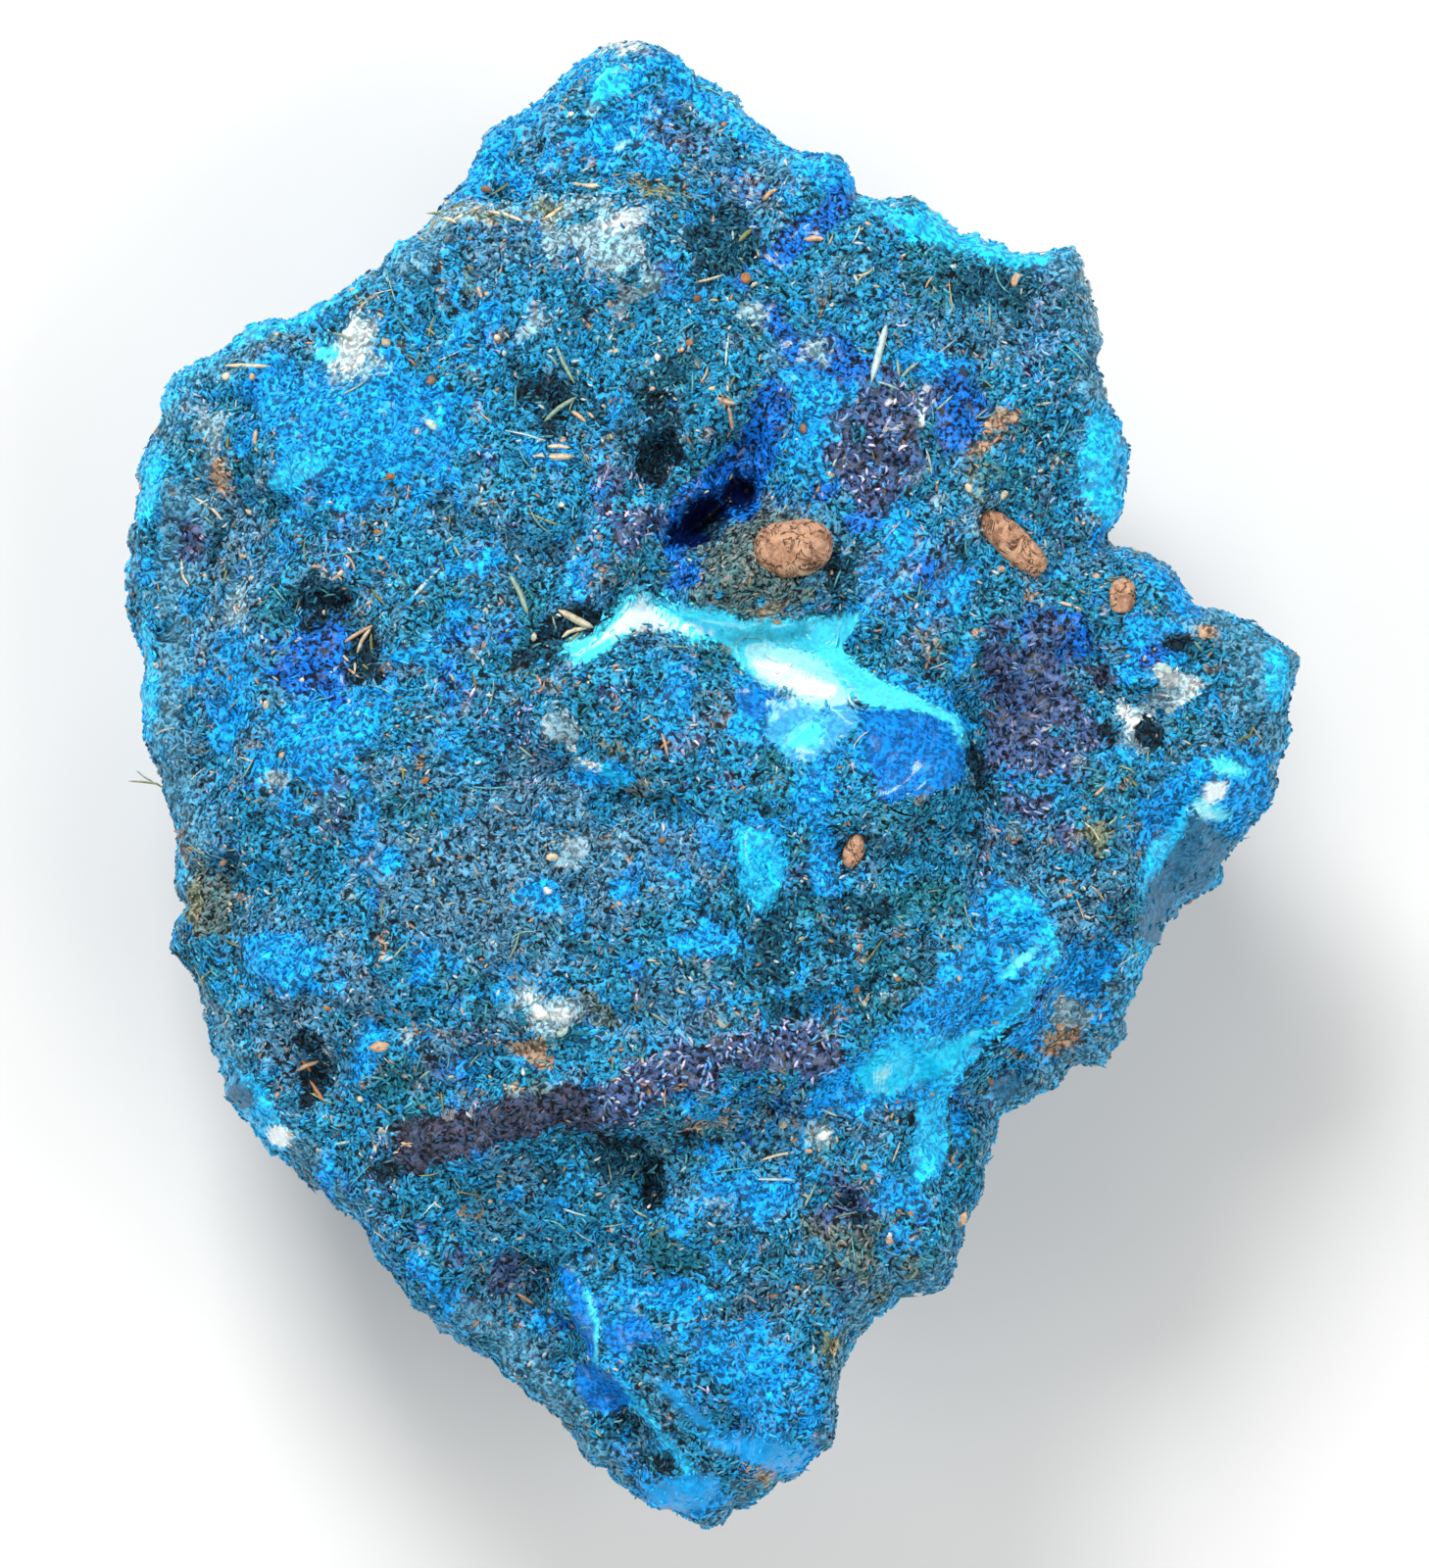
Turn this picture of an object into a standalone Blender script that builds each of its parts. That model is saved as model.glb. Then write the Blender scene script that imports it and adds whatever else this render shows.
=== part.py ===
"""A rough lump of turquoise that lies on its broken back, with brown pebbles bedded in its face.

The stone is one solid. An ico sphere is bent to the lump's outline: its upper half becomes the
face, its lower half the walls and the underside. The face follows spot heights and named
landforms, the walls and the back are broken into chips, and a Decimate modifier leaves triangles
where the relief needs them. Each pebble sits in a socket cut a hair wider than itself.

Lengths are in millimetres until an object is made, and the finished objects are in metres.
+X is to the right and +Y is up the face, +Z is out of the face, and the stone rests on Z = 0.
"""

import itertools
from typing import NamedTuple

import bpy
import numpy as np

MM = 0.001

# The stone's size: its outline is 121 x 152.4 mm, and its face stands about 50 mm high.
RIM_ROUNDING = 4.5
RIM_JAG = 0.65
RIM_JAG_CELL = 3.2
FOOT_HEIGHT = 6.0
FOOT_RING = 0.56
RESTING_SINK = 3.2
SPOT_REACH = 6.0
WARP_CELL = 7.0
WARP = 1.3
LINE_TAPER = 0.16
SPHERE_SUBDIVISIONS = 7
STONE_TRIANGLES = 7500
SOCKET_GAP = 0.35

# The outline, clockwise from the top peak: x to the right and y up, from the middle of the face.
OUTLINE = [
    (-8.3, 76.2), (-6.1, 75.4), (-2.3, 73.8), (-0.7, 72.2), (2.9, 70.0), (3.4, 68.6),
    (7.7, 65.6), (11.2, 64.5), (14.5, 62.8), (15.2, 60.4), (18.2, 60.0), (22.2, 59.7),
    (23.9, 58.5), (26.2, 56.0), (30.7, 54.8), (33.7, 54.3), (37.2, 54.6), (38.5, 52.8),
    (39.5, 49.5), (40.0, 45.5), (39.5, 43.0), (40.3, 40.5), (42.2, 37.0), (42.9, 33.5),
    (42.2, 27.5), (41.1, 25.5), (42.7, 24.0), (46.2, 22.5), (48.2, 20.0), (50.2, 18.0),
    (52.7, 17.6), (56.2, 16.5), (58.2, 15.0), (60.2, 13.0), (60.5, 10.5), (58.9, 7.0),
    (59.1, 4.0), (57.9, 0.0), (56.2, -4.5), (53.2, -9.5), (50.7, -12.0), (47.2, -14.8),
    (44.5, -18.5), (44.2, -21.5), (42.5, -25.5), (41.2, -28.5), (38.7, -29.2),
    (35.7, -31.0), (32.2, -33.0), (30.2, -34.0), (29.5, -37.5), (28.0, -41.5),
    (26.7, -45.5), (25.2, -49.5), (23.9, -51.5), (20.2, -52.5), (17.2, -54.5),
    (14.7, -58.0), (13.4, -61.0), (12.7, -67.5), (9.2, -70.3), (3.7, -74.5), (1.7, -76.2),
    (-2.3, -75.8), (-5.3, -74.5), (-7.3, -73.0), (-12.3, -69.5), (-14.3, -66.5),
    (-17.8, -63.5), (-22.3, -59.5), (-27.3, -56.5), (-30.3, -53.0), (-36.3, -45.0),
    (-42.3, -40.0), (-47.8, -35.0), (-49.3, -31.5), (-50.1, -28.0), (-51.8, -23.0),
    (-54.3, -18.5), (-55.5, -16.8), (-54.3, -13.0), (-54.3, -7.5), (-54.8, -3.5),
    (-57.3, 3.0), (-58.3, 6.5), (-58.1, 10.0), (-59.5, 17.0), (-59.3, 19.5),
    (-60.5, 22.5), (-59.8, 25.5), (-58.8, 29.5), (-57.3, 35.5), (-55.5, 37.0),
    (-55.7, 39.5), (-54.8, 41.5), (-51.8, 43.5), (-45.3, 47.0), (-40.3, 48.0),
    (-36.3, 50.0), (-32.8, 52.5), (-29.3, 56.5), (-26.8, 58.5), (-24.5, 61.0),
    (-22.5, 66.2), (-17.8, 69.7), (-14.8, 72.0), (-10.3, 75.5),
]

# Spot heights of the face: x, y and the height above the resting plane.
SPOT_HEIGHTS = [
    (-8, 72, 38), (-12, 64, 41), (0, 66, 41), (8, 60, 40), (23, 56, 41), (36, 51, 40),
    (37, 38, 41), (39, 30, 38), (23, 47, 44), (8, 48, 45), (-8, 53, 47), (-24, 52, 44),
    (-37, 45, 44), (-50, 42, 39), (-54, 30, 37), (-56, 18, 35), (-53, 5, 37), (-50, -10, 38),
    (-42, 35, 46), (-32, 35, 47), (-42, 15, 45), (-42, -5, 45), (-27, 20, 47), (-27, 5, 48),
    (-27, -15, 48), (-12, 40, 45), (-12, 25, 47), (-2, 35, 44), (-7, 8, 49), (13, 5, 50),
    (18, -5, 50), (-2, -10, 49), (-12, -20, 48), (8, -20, 49), (23, -15, 49), (33, 10, 43),
    (33, -5, 44), (43, 15, 44), (53, 10, 41), (50, -2, 42), (52, -10, 34), (38, -15, 44),
    (38, -25, 39), (33, -30, 36), (28, -40, 40), (18, -40, 44), (23, -48, 39), (8, -45, 45),
    (13, -55, 41), (8, -65, 40), (3, -73, 34), (-4, -60, 43), (-7, -70, 37), (-16, -60, 37),
    (-22, -50, 40), (-32, -40, 42), (-42, -33, 40), (-37, -20, 45), (-22, -35, 46),
    (18, 25, 44), (30, 32, 43), (22, 15, 47), (-53, -22, 36), (-34, -48, 37),
]

# Eight values round the stone, counter-clockwise from +X: how far the rim lies under the face
# beside it, how much of the outline the foot keeps, and how much higher its foot begins.
RIM_DROP = [6, 5, 4, 5, 6, 8, 6, 7]
FOOT_SHARE = [0.84, 0.92, 0.84, 0.94, 0.94, 0.92, 0.76, 0.90]
FOOT_LIFT = [3, 1, 4, 0, 2, 1, 6, 3]


class Mound(NamedTuple):
    """A raised or, with a negative rise, a sunken oval; a shoulder under 1 makes its top flat."""

    name: str
    x: float
    y: float
    half_length: float
    half_width: float
    turn: float
    rise: float
    shoulder: float = 1.0


class Ledge(NamedTuple):
    """A broken edge: the ground to the right of the line, as it is walked, lies lower."""

    name: str
    line: list
    drop: float
    slope: float
    reach: float


class Ridge(NamedTuple):
    """A crest or, with a negative rise, a groove along a line."""

    name: str
    line: list
    rise: float
    half_width: float


class Fracture(NamedTuple):
    """A flat break in the wall: where it faces, how far it faces down, and how deep it lies
    inside the outline's farthest point at the given height."""

    azimuth: float
    lean: float
    depth: float
    height: float


FRACTURES = [
    Fracture(8, 24, 3, 33), Fracture(38, 10, 5, 33), Fracture(62, 30, 2, 33), Fracture(88, 16, 6, 33),
    Fracture(118, 32, 3, 33), Fracture(140, 12, 2, 33), Fracture(166, 22, 2, 33), Fracture(188, 6, 3, 33),
    Fracture(206, 34, 4, 33), Fracture(228, 18, 1, 33), Fracture(252, 28, 3, 33), Fracture(276, 38, 6, 33),
    Fracture(296, 14, 3, 33), Fracture(318, 28, 2, 33), Fracture(342, 30, 5, 33), Fracture(22, 60, 18, 8),
    Fracture(100, 62, 22, 9), Fracture(178, 56, 13, 8), Fracture(236, 62, 17, 10), Fracture(300, 58, 16, 7),
]

MOUNDS = [
    Mound("grey dome", -6.6, 7.6, 10.6, 8.2, -8, 3.2, 0.8),
    Mound("blue block", 16.0, 2.0, 11.0, 8.0, 0, 2.6, 0.6),
    Mound("pebble lump", 4.6, 22.2, 9.4, 5.6, 20, 3.6),
    Mound("cobalt hollow", 1.4, 29.0, 12.5, 5.0, 57, -4.6, 0.8),
    Mound("upper cobalt hole", 3.4, 29.5, 2.4, 2.0, 40, -3.4),
    Mound("lower cobalt hole", -0.6, 26.8, 3.8, 2.1, 40, -3.6),
    Mound("glazed hollow", 6.5, 15.0, 11.0, 4.6, -8, -4.2, 0.8),
    Mound("glazed corner", -7.0, 18.4, 5.5, 2.6, 12, -3.0),
    Mound("black fissure", -4.3, 32.5, 3.6, 2.6, 60, -3.2),
    Mound("straw hollow", -14.8, 36.5, 6.5, 4.6, 10, -2.0),
    Mound("left hollow", -38.3, 17.8, 3.8, 3.2, 0, -2.8),
    Mound("left straw nest", -34.8, 13.0, 3.0, 3.6, 0, -1.5),
    Mound("lower hollow", -6.0, -39.2, 4.2, 4.4, 0, -3.4),
    Mound("whitish boss", -8.8, 53.0, 5.2, 6.0, 0, 1.6),
    Mound("azure block", -35.0, 34.5, 10.5, 7.0, -5, 1.6, 0.6),
    Mound("blue fang", 5.2, -9.0, 5.0, 2.4, 80, 2.2),
    Mound("right lobe ridge", 46.7, 10.5, 6.0, 3.0, -15, 1.6),
    Mound("right lobe pit", 43.5, 6.6, 3.0, 2.0, -20, -2.0),
    Mound("glinting boss", 49.2, -0.5, 6.0, 5.0, 20, 2.0),
    Mound("violet basin", 34.0, 8.0, 8.5, 11.0, 10, -2.4),
    Mound("cobalt basin", 37.5, 14.5, 6.0, 4.5, -20, -1.6),
    Mound("violet boss", 19.5, 35.5, 6.5, 6.0, 0, 1.4),
    Mound("rim pit", 13.2, -41.7, 2.2, 2.0, 0, -2.6),
    Mound("pale chip", -16.1, -24.8, 3.4, 3.0, 0, 1.7, 0.6),
    Mound("pale blob", -13.3, -7.0, 3.2, 2.4, -40, 1.0),
    Mound("crest block", 24.0, -23.0, 11.0, 6.0, 44, 1.3, 0.6),
    Mound("fibre hollow", -39.8, -29.5, 3.0, 4.2, 0, -1.8),
    Mound("left boss", -31.8, -26.5, 3.6, 3.0, 0, 1.3),
    Mound("low blue boss", -41.0, 1.6, 4.0, 3.0, 0, 1.2),
    Mound("bottom block", 4.0, -58.0, 10.0, 8.0, -30, 1.8, 0.6),
    Mound("bottom nose", 5.0, -67.0, 7.0, 4.0, 20, 1.6),
    Mound("side facet", -46.0, -35.5, 6.5, 3.0, -42, -4.2),
    Mound("right facet", 50.5, -10.0, 8.0, 4.5, 55, -4.0),
]

LEDGES = [
    Ledge("peak ledge", [(5, 54), (-4, 58.5), (-12, 59.5), (-22, 57), (-30, 55)], 2.8, 1.8, 13),
    Ledge("block edge", [(33, -12), (28.5, -7), (25.8, -1), (25.6, 6), (23.5, 10.5)], 3.6, 1.4, 9),
    Ledge("dome edge", [(-17, 11), (-16.5, 5), (-13, 1), (-6, -0.5), (1, -1.5)], 1.8, 1.6, 7),
    Ledge("band ledge", [(-30, -37.8), (-16, -35.2), (-8, -33.8), (-2, -32.5), (14, -29.5)], 2.4, 1.6, 9),
    Ledge("crest ledge", [(22, -31.8), (25, -28.4), (29, -25.2), (32.2, -21.6), (34.9, -18), (34.4, -13.5)], 3.2, 2.0, 10),
    Ledge("crest foot", [(21.5, -42), (22.6, -36), (22, -30)], 1.8, 1.6, 6),
    Ledge("wedge facet", [(-16, -44), (-13.4, -50), (-11, -55), (-8, -60), (-5.6, -64.5), (-1, -70)], 4.6, 3.4, 15),
    Ledge("blue tongue", [(9, -52.5), (0, -53.5), (-9, -52)], 1.6, 1.2, 6),
    Ledge("azure edge", [(-44.5, 41), (-43.8, 34), (-43.4, 29), (-40, 28)], 2.0, 1.2, 9),
    Ledge("left shoulder", [(-44, 25), (-46, 18), (-45, 8), (-46, -4), (-44, -14)], 1.8, 2.5, 10),
    Ledge("lump overhang", [(-7, 20), (-3, 18.4), (5, 17.2), (14.5, 18.5)], 2.2, 1.0, 5),
]

RIDGES = [
    Ridge("violet band", [(-30, -36.4), (-22, -33.5), (-8, -31), (-2, -27), (5, -25.5), (13.5, -26)], 1.2, 2.4),
    Ridge("cyan crest", [(31, -11.5), (33.4, -16), (31.4, -20.4), (27.6, -24.4), (24, -27.4), (21.6, -30)], 1.9, 2.8),
    Ridge("standing vein", [(12, 1), (11.3, -5), (11, -12)], 1.2, 1.3),
    Ridge("azure crust", [(-46, -15.5), (-45, -18.5), (-42, -20.5), (-38, -18.5)], 1.4, 1.6),
    Ridge("short crust", [(-32.5, -24), (-35.4, -27), (-35.5, -30)], 1.2, 1.3),
    Ridge("wedge crest", [(-15, -49), (-11.5, -54), (-8.5, -59), (-5, -64)], 1.4, 1.8),
    Ridge("nose crest", [(-8, -63), (-1, -66), (2.5, -69), (7, -69)], 1.2, 1.6),
]


class Pebble(NamedTuple):
    """A pebble bedded in the face: where it lies, its full size and how far it stands proud."""

    name: str
    x: float
    y: float
    length: float
    width: float
    thickness: float
    turn: float
    proud: float
    seed: int


PEBBLES = [
    Pebble("round_brown_pebble", 8.5, 23.4, 8.2, 6.0, 4.8, 8, 1.9, 41),
    Pebble("long_brown_pebble", 30.5, 24.2, 8.8, 3.8, 3.2, -43, 1.2, 42),
    Pebble("small_brown_pebble", 41.6, 18.8, 3.8, 2.9, 2.6, 85, 1.1, 43),
    Pebble("red_brown_chip", 14.6, -6.5, 4.0, 2.3, 2.2, 70, 1.0, 44),
]
PEBBLE_SUBDIVISIONS = 3
PEBBLE_LUMP = 0.05
PEBBLE_BOX = 2.6


def smooth_step(share):
    """0 below 0, 1 above 1, and a smooth S between."""
    share = np.clip(share, 0, 1)
    return share * share * (3 - 2 * share)


def hashed(cells, seed):
    """A repeatable number from -1 to 1 for each lattice cell."""
    key = cells[..., 0] * 73856093 ^ cells[..., 1] * 19349663 ^ cells[..., 2] * 83492791
    key = (key ^ seed * 40503) & 0x7FFFFFFF
    key = (key ^ key >> 15) * 73244475 & 0x7FFFFFFF
    key = (key ^ key >> 13) * 19990303 & 0x7FFFFFFF
    return ((key ^ key >> 16) & 0xFFFF) / 32767.5 - 1


def value_noise(places, cell, seed):
    """Random values at the corners of a cubic lattice, blended smoothly between them."""
    scaled = places / cell
    corner = np.floor(scaled).astype(np.int64)
    share = smooth_step(scaled - corner)
    total = np.zeros(len(places))
    for step in itertools.product((0, 1), repeat=3):
        weight = np.prod(np.where(step, share, 1 - share), axis=1)
        total += weight * hashed(corner + step, seed)
    return total


def rough(places, cell, seed, octaves=3):
    """Several layers of value noise, each half as wide and half as high as the one before."""
    return sum(value_noise(places, cell / 2**i, seed + i) / 2**i for i in range(octaves))


def chipped(places, cell, seed):
    """Broken facets: round jittered seeds, each with a tilted plane, blended in a narrow band."""
    corner = np.floor(places / cell).astype(np.int64)
    heights, distances = [], []
    for step in itertools.product((-1, 0, 1), repeat=3):
        at = corner + step
        jitter = np.stack([hashed(at, seed + i) for i in range(3)], axis=1) * 0.45
        tilt = np.stack([hashed(at, seed + i) for i in range(3, 6)], axis=1)
        away = places / cell - (at + 0.5 + jitter)
        distances.append(np.linalg.norm(away, axis=1))
        heights.append((away * tilt).sum(axis=1) + 0.5 * hashed(at, seed + 6))
    distances, heights = np.array(distances), np.array(heights)
    weight = np.exp(-18 * (distances - distances.min(axis=0)))
    return (weight * heights).sum(axis=0) / weight.sum(axis=0)


def around(angle, values):
    """A value that changes smoothly through the given ones, evenly spaced round a full turn."""
    values = np.array(values, float)
    place = np.mod(angle, 2 * np.pi) / (2 * np.pi) * len(values)
    low = np.floor(place).astype(int)
    share = smooth_step(place - low)
    return values[low % len(values)] * (1 - share) + values[(low + 1) % len(values)] * share


def outline_radius(angle):
    """How far the outline lies from the middle in each direction: ray against polygon side."""
    points = np.array(OUTLINE)[::-1]
    turns = np.arctan2(points[:, 1], points[:, 0])
    first = turns.argmin()
    points, turns = np.roll(points, -first, axis=0), np.roll(turns, -first)
    angle = np.mod(angle + np.pi, 2 * np.pi) - np.pi
    after = np.searchsorted(turns, angle) % len(points)
    start, end = points[after - 1], points[after]
    along = end - start
    ray = np.stack([np.cos(angle), np.sin(angle)], axis=1)
    cross = start[:, 0] * along[:, 1] - start[:, 1] * along[:, 0]
    return cross / (ray[:, 0] * along[:, 1] - ray[:, 1] * along[:, 0])


def line_offsets(x, y, line):
    """Each place's distance from a line of points, how far it lies to the line's right, and a
    share that is 1 along the line and falls to 0 at both of its ends."""
    lengths = np.array([np.hypot(bx - ax, by - ay) for (ax, ay), (bx, by) in itertools.pairwise(line)])
    starts = np.concatenate([[0], np.cumsum(lengths)])
    nearest = np.full(len(x), np.inf)
    to_right = np.zeros(len(x))
    walked = np.zeros(len(x))
    for ((ax, ay), (bx, by)), length, start in zip(itertools.pairwise(line), lengths, starts):
        along_x, along_y = (bx - ax) / length, (by - ay) / length
        along = np.clip((x - ax) * along_x + (y - ay) * along_y, 0, length)
        distance = np.hypot(x - ax - along * along_x, y - ay - along * along_y)
        closer = distance < nearest
        right = (x - ax) * along_y - (y - ay) * along_x
        to_right = np.where(closer, right, to_right)
        walked = np.where(closer, start + along, walked)
        nearest = np.minimum(nearest, distance)
    share = walked / starts[-1]
    return nearest, to_right, smooth_step(np.minimum(share, 1 - share) / LINE_TAPER)


def mound_height(x, y, mound):
    """A smooth oval that reaches its full rise within its shoulder and ends at its half sizes."""
    turn = np.radians(mound.turn)
    along = (x - mound.x) * np.cos(turn) + (y - mound.y) * np.sin(turn)
    across = (y - mound.y) * np.cos(turn) - (x - mound.x) * np.sin(turn)
    reach = np.hypot(along / mound.half_length, across / mound.half_width)
    return mound.rise * smooth_step((1.25 - reach) / (1.25 * mound.shoulder))


def ledge_height(x, y, ledge):
    distance, right, taper = line_offsets(x, y, ledge.line)
    fade = np.exp(-((distance / ledge.reach) ** 2))
    return -ledge.drop * smooth_step(right / ledge.slope) * fade * taper


def ridge_height(x, y, ridge):
    distance, _, taper = line_offsets(x, y, ridge.line)
    return ridge.rise * np.exp(-((distance / ridge.half_width) ** 2)) * taper


def ground(x, y):
    """The face's broad form: spot heights, each weighted by how near it lies."""
    spots = np.array(SPOT_HEIGHTS, float)
    apart = (x[:, None] - spots[:, 0]) ** 2 + (y[:, None] - spots[:, 1]) ** 2
    weight = np.exp(-apart / (2 * SPOT_REACH**2)) + 1e-12
    return weight @ spots[:, 2] / weight.sum(axis=1)


def face_height(x, y):
    """Height of the face above the resting plane: broad form, landforms, chips and lumps."""
    flat = np.stack([x, y, np.zeros(len(x))], axis=1)
    warped_x = x + WARP * rough(flat, WARP_CELL, 3)
    warped_y = y + WARP * rough(flat, WARP_CELL, 7)
    height = ground(x, y)
    height += sum(mound_height(warped_x, warped_y, mound) for mound in MOUNDS)
    height += sum(ledge_height(warped_x, warped_y, ledge) for ledge in LEDGES)
    height += sum(ridge_height(warped_x, warped_y, ridge) for ridge in RIDGES)
    return height + 1.3 * chipped(flat, 9.5, 11) + 0.7 * rough(flat, 4.6, 21)


def inner_radius(angle):
    """A smooth outline that stays inside the jagged one: the least of what lies near, averaged."""
    turns = np.radians(np.arange(360))
    radius = outline_radius(turns)
    least = np.min([np.roll(radius, step) for step in range(-7, 8)], axis=0)
    even = np.mean([np.roll(least, step) for step in range(-7, 8)], axis=0)
    return np.interp(angle, turns, even, period=2 * np.pi)


def broken(angle, reach, height):
    """Shortens each ray's reach to the nearest fracture plane that crosses it at that height."""
    points = np.array(OUTLINE)
    for fracture in FRACTURES:
        azimuth, lean = np.radians(fracture.azimuth), np.radians(fracture.lean)
        farthest = (points @ (np.cos(azimuth), np.sin(azimuth))).max() - fracture.depth
        plane = farthest - (fracture.height - height) * np.tan(lean)
        toward = np.cos(angle - azimuth)
        reach = np.where(toward > 0.1, np.minimum(reach, plane / np.maximum(toward, 0.1)), reach)
    return reach


def stone_places(angle, ring, upper):
    """The stone's surface, as a function of the angle round it and of a ring from 0 to 1.

    On the upper side the ring runs from the face's middle out to the rim. On the lower side it
    runs back from the rim down the wall to the foot, and then in under the stone, where the
    underside sinks a little below Z = 0.
    """
    ray = np.stack([np.cos(angle), np.sin(angle), np.zeros(len(angle))], axis=1)
    radius = outline_radius(angle)
    radius += RIM_JAG * (rough(ray * radius[:, None], RIM_JAG_CELL, 31) - 0.8)

    rim_x, rim_y = ray[:, 0] * radius, ray[:, 1] * radius
    rim = face_height(rim_x, rim_y) - around(angle, RIM_DROP)
    x, y = rim_x * ring, rim_y * ring
    inward = np.clip((1 - ring) * radius / RIM_ROUNDING, 0, 1)
    rounding = np.sqrt(1 - (1 - inward) ** 2)
    face = np.stack([x, y, rim + (face_height(x, y) - rim) * rounding], axis=1)

    down = np.clip((1 - ring) / (1 - FOOT_RING), 0, 1)
    under = np.clip(ring / FOOT_RING, 0, 1)
    foot = FOOT_HEIGHT + around(angle, FOOT_LIFT)
    height = np.where(ring < FOOT_RING, foot * under**3, rim + (foot - rim) * down**0.92)
    inner = np.minimum(inner_radius(angle), radius)
    wall = radius + (inner - radius) * smooth_step(down * 2.2)
    wall *= 1 - (1 - around(angle, FOOT_SHARE)) * down**1.5
    wall += (np.maximum(broken(angle, wall, height), 0.45 * wall) - wall) * smooth_step(down * 5)
    back = ray * (wall * under)[:, None]
    back[:, 2] = height

    side = smooth_step((ring - FOOT_RING) * 4)
    chips = 2.8 * chipped(back, 13, 51) + 1.2 * chipped(back, 6, 61) + 0.5 * rough(back, 4.2, 71)
    below_rim = smooth_step(down * 4)
    back += ray * ((chips - 1.2) * below_rim * side)[:, None]
    back[:, 2] += 0.6 * chips * (1 - side) - RESTING_SINK * (1 - under)
    overhang = np.hypot(back[:, 0], back[:, 1]) / radius
    back[:, :2] /= np.maximum(overhang, 1)[:, None]
    return np.where(upper[:, None], face, back)


def move_to(piece, collection):
    for owner in list(piece.users_collection):
        owner.objects.unlink(piece)
    collection.objects.link(piece)


def cut_by(stone, cutter):
    cutter.hide_render = True
    cutter.display_type = "WIRE"
    cut = stone.modifiers.new(cutter.name, "BOOLEAN")
    cut.operation = "DIFFERENCE"
    cut.object = cutter


def new_sphere(name, subdivisions, collection):
    bpy.ops.mesh.primitive_ico_sphere_add(subdivisions=subdivisions, radius=1)
    sphere = bpy.context.object
    sphere.name = name
    sphere.data.name = name
    move_to(sphere, collection)
    return sphere


def read_places(mesh):
    places = np.empty(len(mesh.vertices) * 3, np.float32)
    mesh.vertices.foreach_get("co", places)
    return places.reshape(-1, 3).astype(float)


def write_places(mesh, places):
    """Takes places in millimetres and writes them to the mesh in metres."""
    mesh.vertices.foreach_set("co", (places * MM).astype(np.float32).ravel())
    mesh.update()


def material(name, colour, roughness):
    made = bpy.data.materials.new(name)
    made.use_nodes = True
    shader = made.node_tree.nodes["Principled BSDF"]
    shader.inputs["Base Color"].default_value = (*colour, 1)
    shader.inputs["Roughness"].default_value = roughness
    shader.inputs["Metallic"].default_value = 0
    return made


def make_stone(collection):
    """Bends the sphere: each half is spread over the outline with equal areas."""
    stone = new_sphere("turquoise_stone", SPHERE_SUBDIVISIONS, collection)
    x, y, z = read_places(stone.data).T
    ring = np.sqrt(np.clip(1 - np.abs(z), 0, 1))
    write_places(stone.data, stone_places(np.arctan2(y, x), ring, z >= 0))
    stone.data.materials.append(material("turquoise", (0.03, 0.22, 0.36), 0.55))
    thin_out = stone.modifiers.new("thin_out", "DECIMATE")
    thin_out.ratio = STONE_TRIANGLES / len(stone.data.polygons)
    return stone


def cut_level(stone, cutters):
    """Cuts the underside off level at Z = 0, where the stone rests."""
    size = 0.2
    bpy.ops.mesh.primitive_cube_add(size=size, location=(0, 0, -size / 2))
    block = bpy.context.object
    block.name = "resting_plane"
    move_to(block, cutters)
    cut_by(stone, block)


def pebble_places(directions, pebble, grown):
    """An uneven, slightly boxy ellipsoid, with its half sizes grown by a gap for a socket."""
    half = np.array([pebble.length, pebble.width, pebble.thickness]) / 2
    uneven = 1 + PEBBLE_LUMP * rough(directions, 0.9, pebble.seed, 2)
    boxy = uneven / (np.abs(directions) ** PEBBLE_BOX).sum(axis=1) ** (1 / PEBBLE_BOX)
    places = directions * boxy[:, None] * (half + grown)
    turn = np.radians(pebble.turn)
    x = places[:, 0] * np.cos(turn) - places[:, 1] * np.sin(turn)
    y = places[:, 0] * np.sin(turn) + places[:, 1] * np.cos(turn)
    level = face_height(np.array([pebble.x]), np.array([pebble.y]))[0]
    z = places[:, 2] + level + pebble.proud - half[2]
    return np.stack([x + pebble.x, y + pebble.y, z], axis=1)


def make_pebble(name, pebble, grown, collection):
    stone = new_sphere(name, PEBBLE_SUBDIVISIONS, collection)
    directions = read_places(stone.data)
    directions /= np.linalg.norm(directions, axis=1)[:, None]
    write_places(stone.data, pebble_places(directions, pebble, grown))
    return stone


def bed_pebbles(stone, parts, cutters):
    """Makes each pebble, and cuts its socket from the stone with a slightly larger copy."""
    brown = material("brown_pebble", (0.36, 0.17, 0.09), 0.9)
    for pebble in PEBBLES:
        made = make_pebble(pebble.name, pebble, 0, parts)
        made.data.materials.append(brown)
        cut_by(stone, make_pebble(pebble.name + "_socket", pebble, SOCKET_GAP, cutters))


def main():
    for old in list(bpy.data.objects):
        bpy.data.objects.remove(old)
    parts = bpy.data.collections.new("rough_turquoise")
    cutters = bpy.data.collections.new("cutters")
    for collection in (parts, cutters):
        bpy.context.scene.collection.children.link(collection)
    stone = make_stone(parts)
    cut_level(stone, cutters)
    bed_pebbles(stone, parts, cutters)


main()
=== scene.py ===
"""Dresses a rough lump of turquoise: grainy crust, glazed and cobalt breaks, pebbles and straw.

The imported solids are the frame. The stone's surface is the same formula that shaped its solid,
sampled on a finer grid and roughened, and it replaces the plain solid. Thousands of tiny grains,
straw bits and chips lie on it. Lengths are in millimetres until a mesh is made.
"""

import functools
import itertools
from typing import NamedTuple

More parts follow.
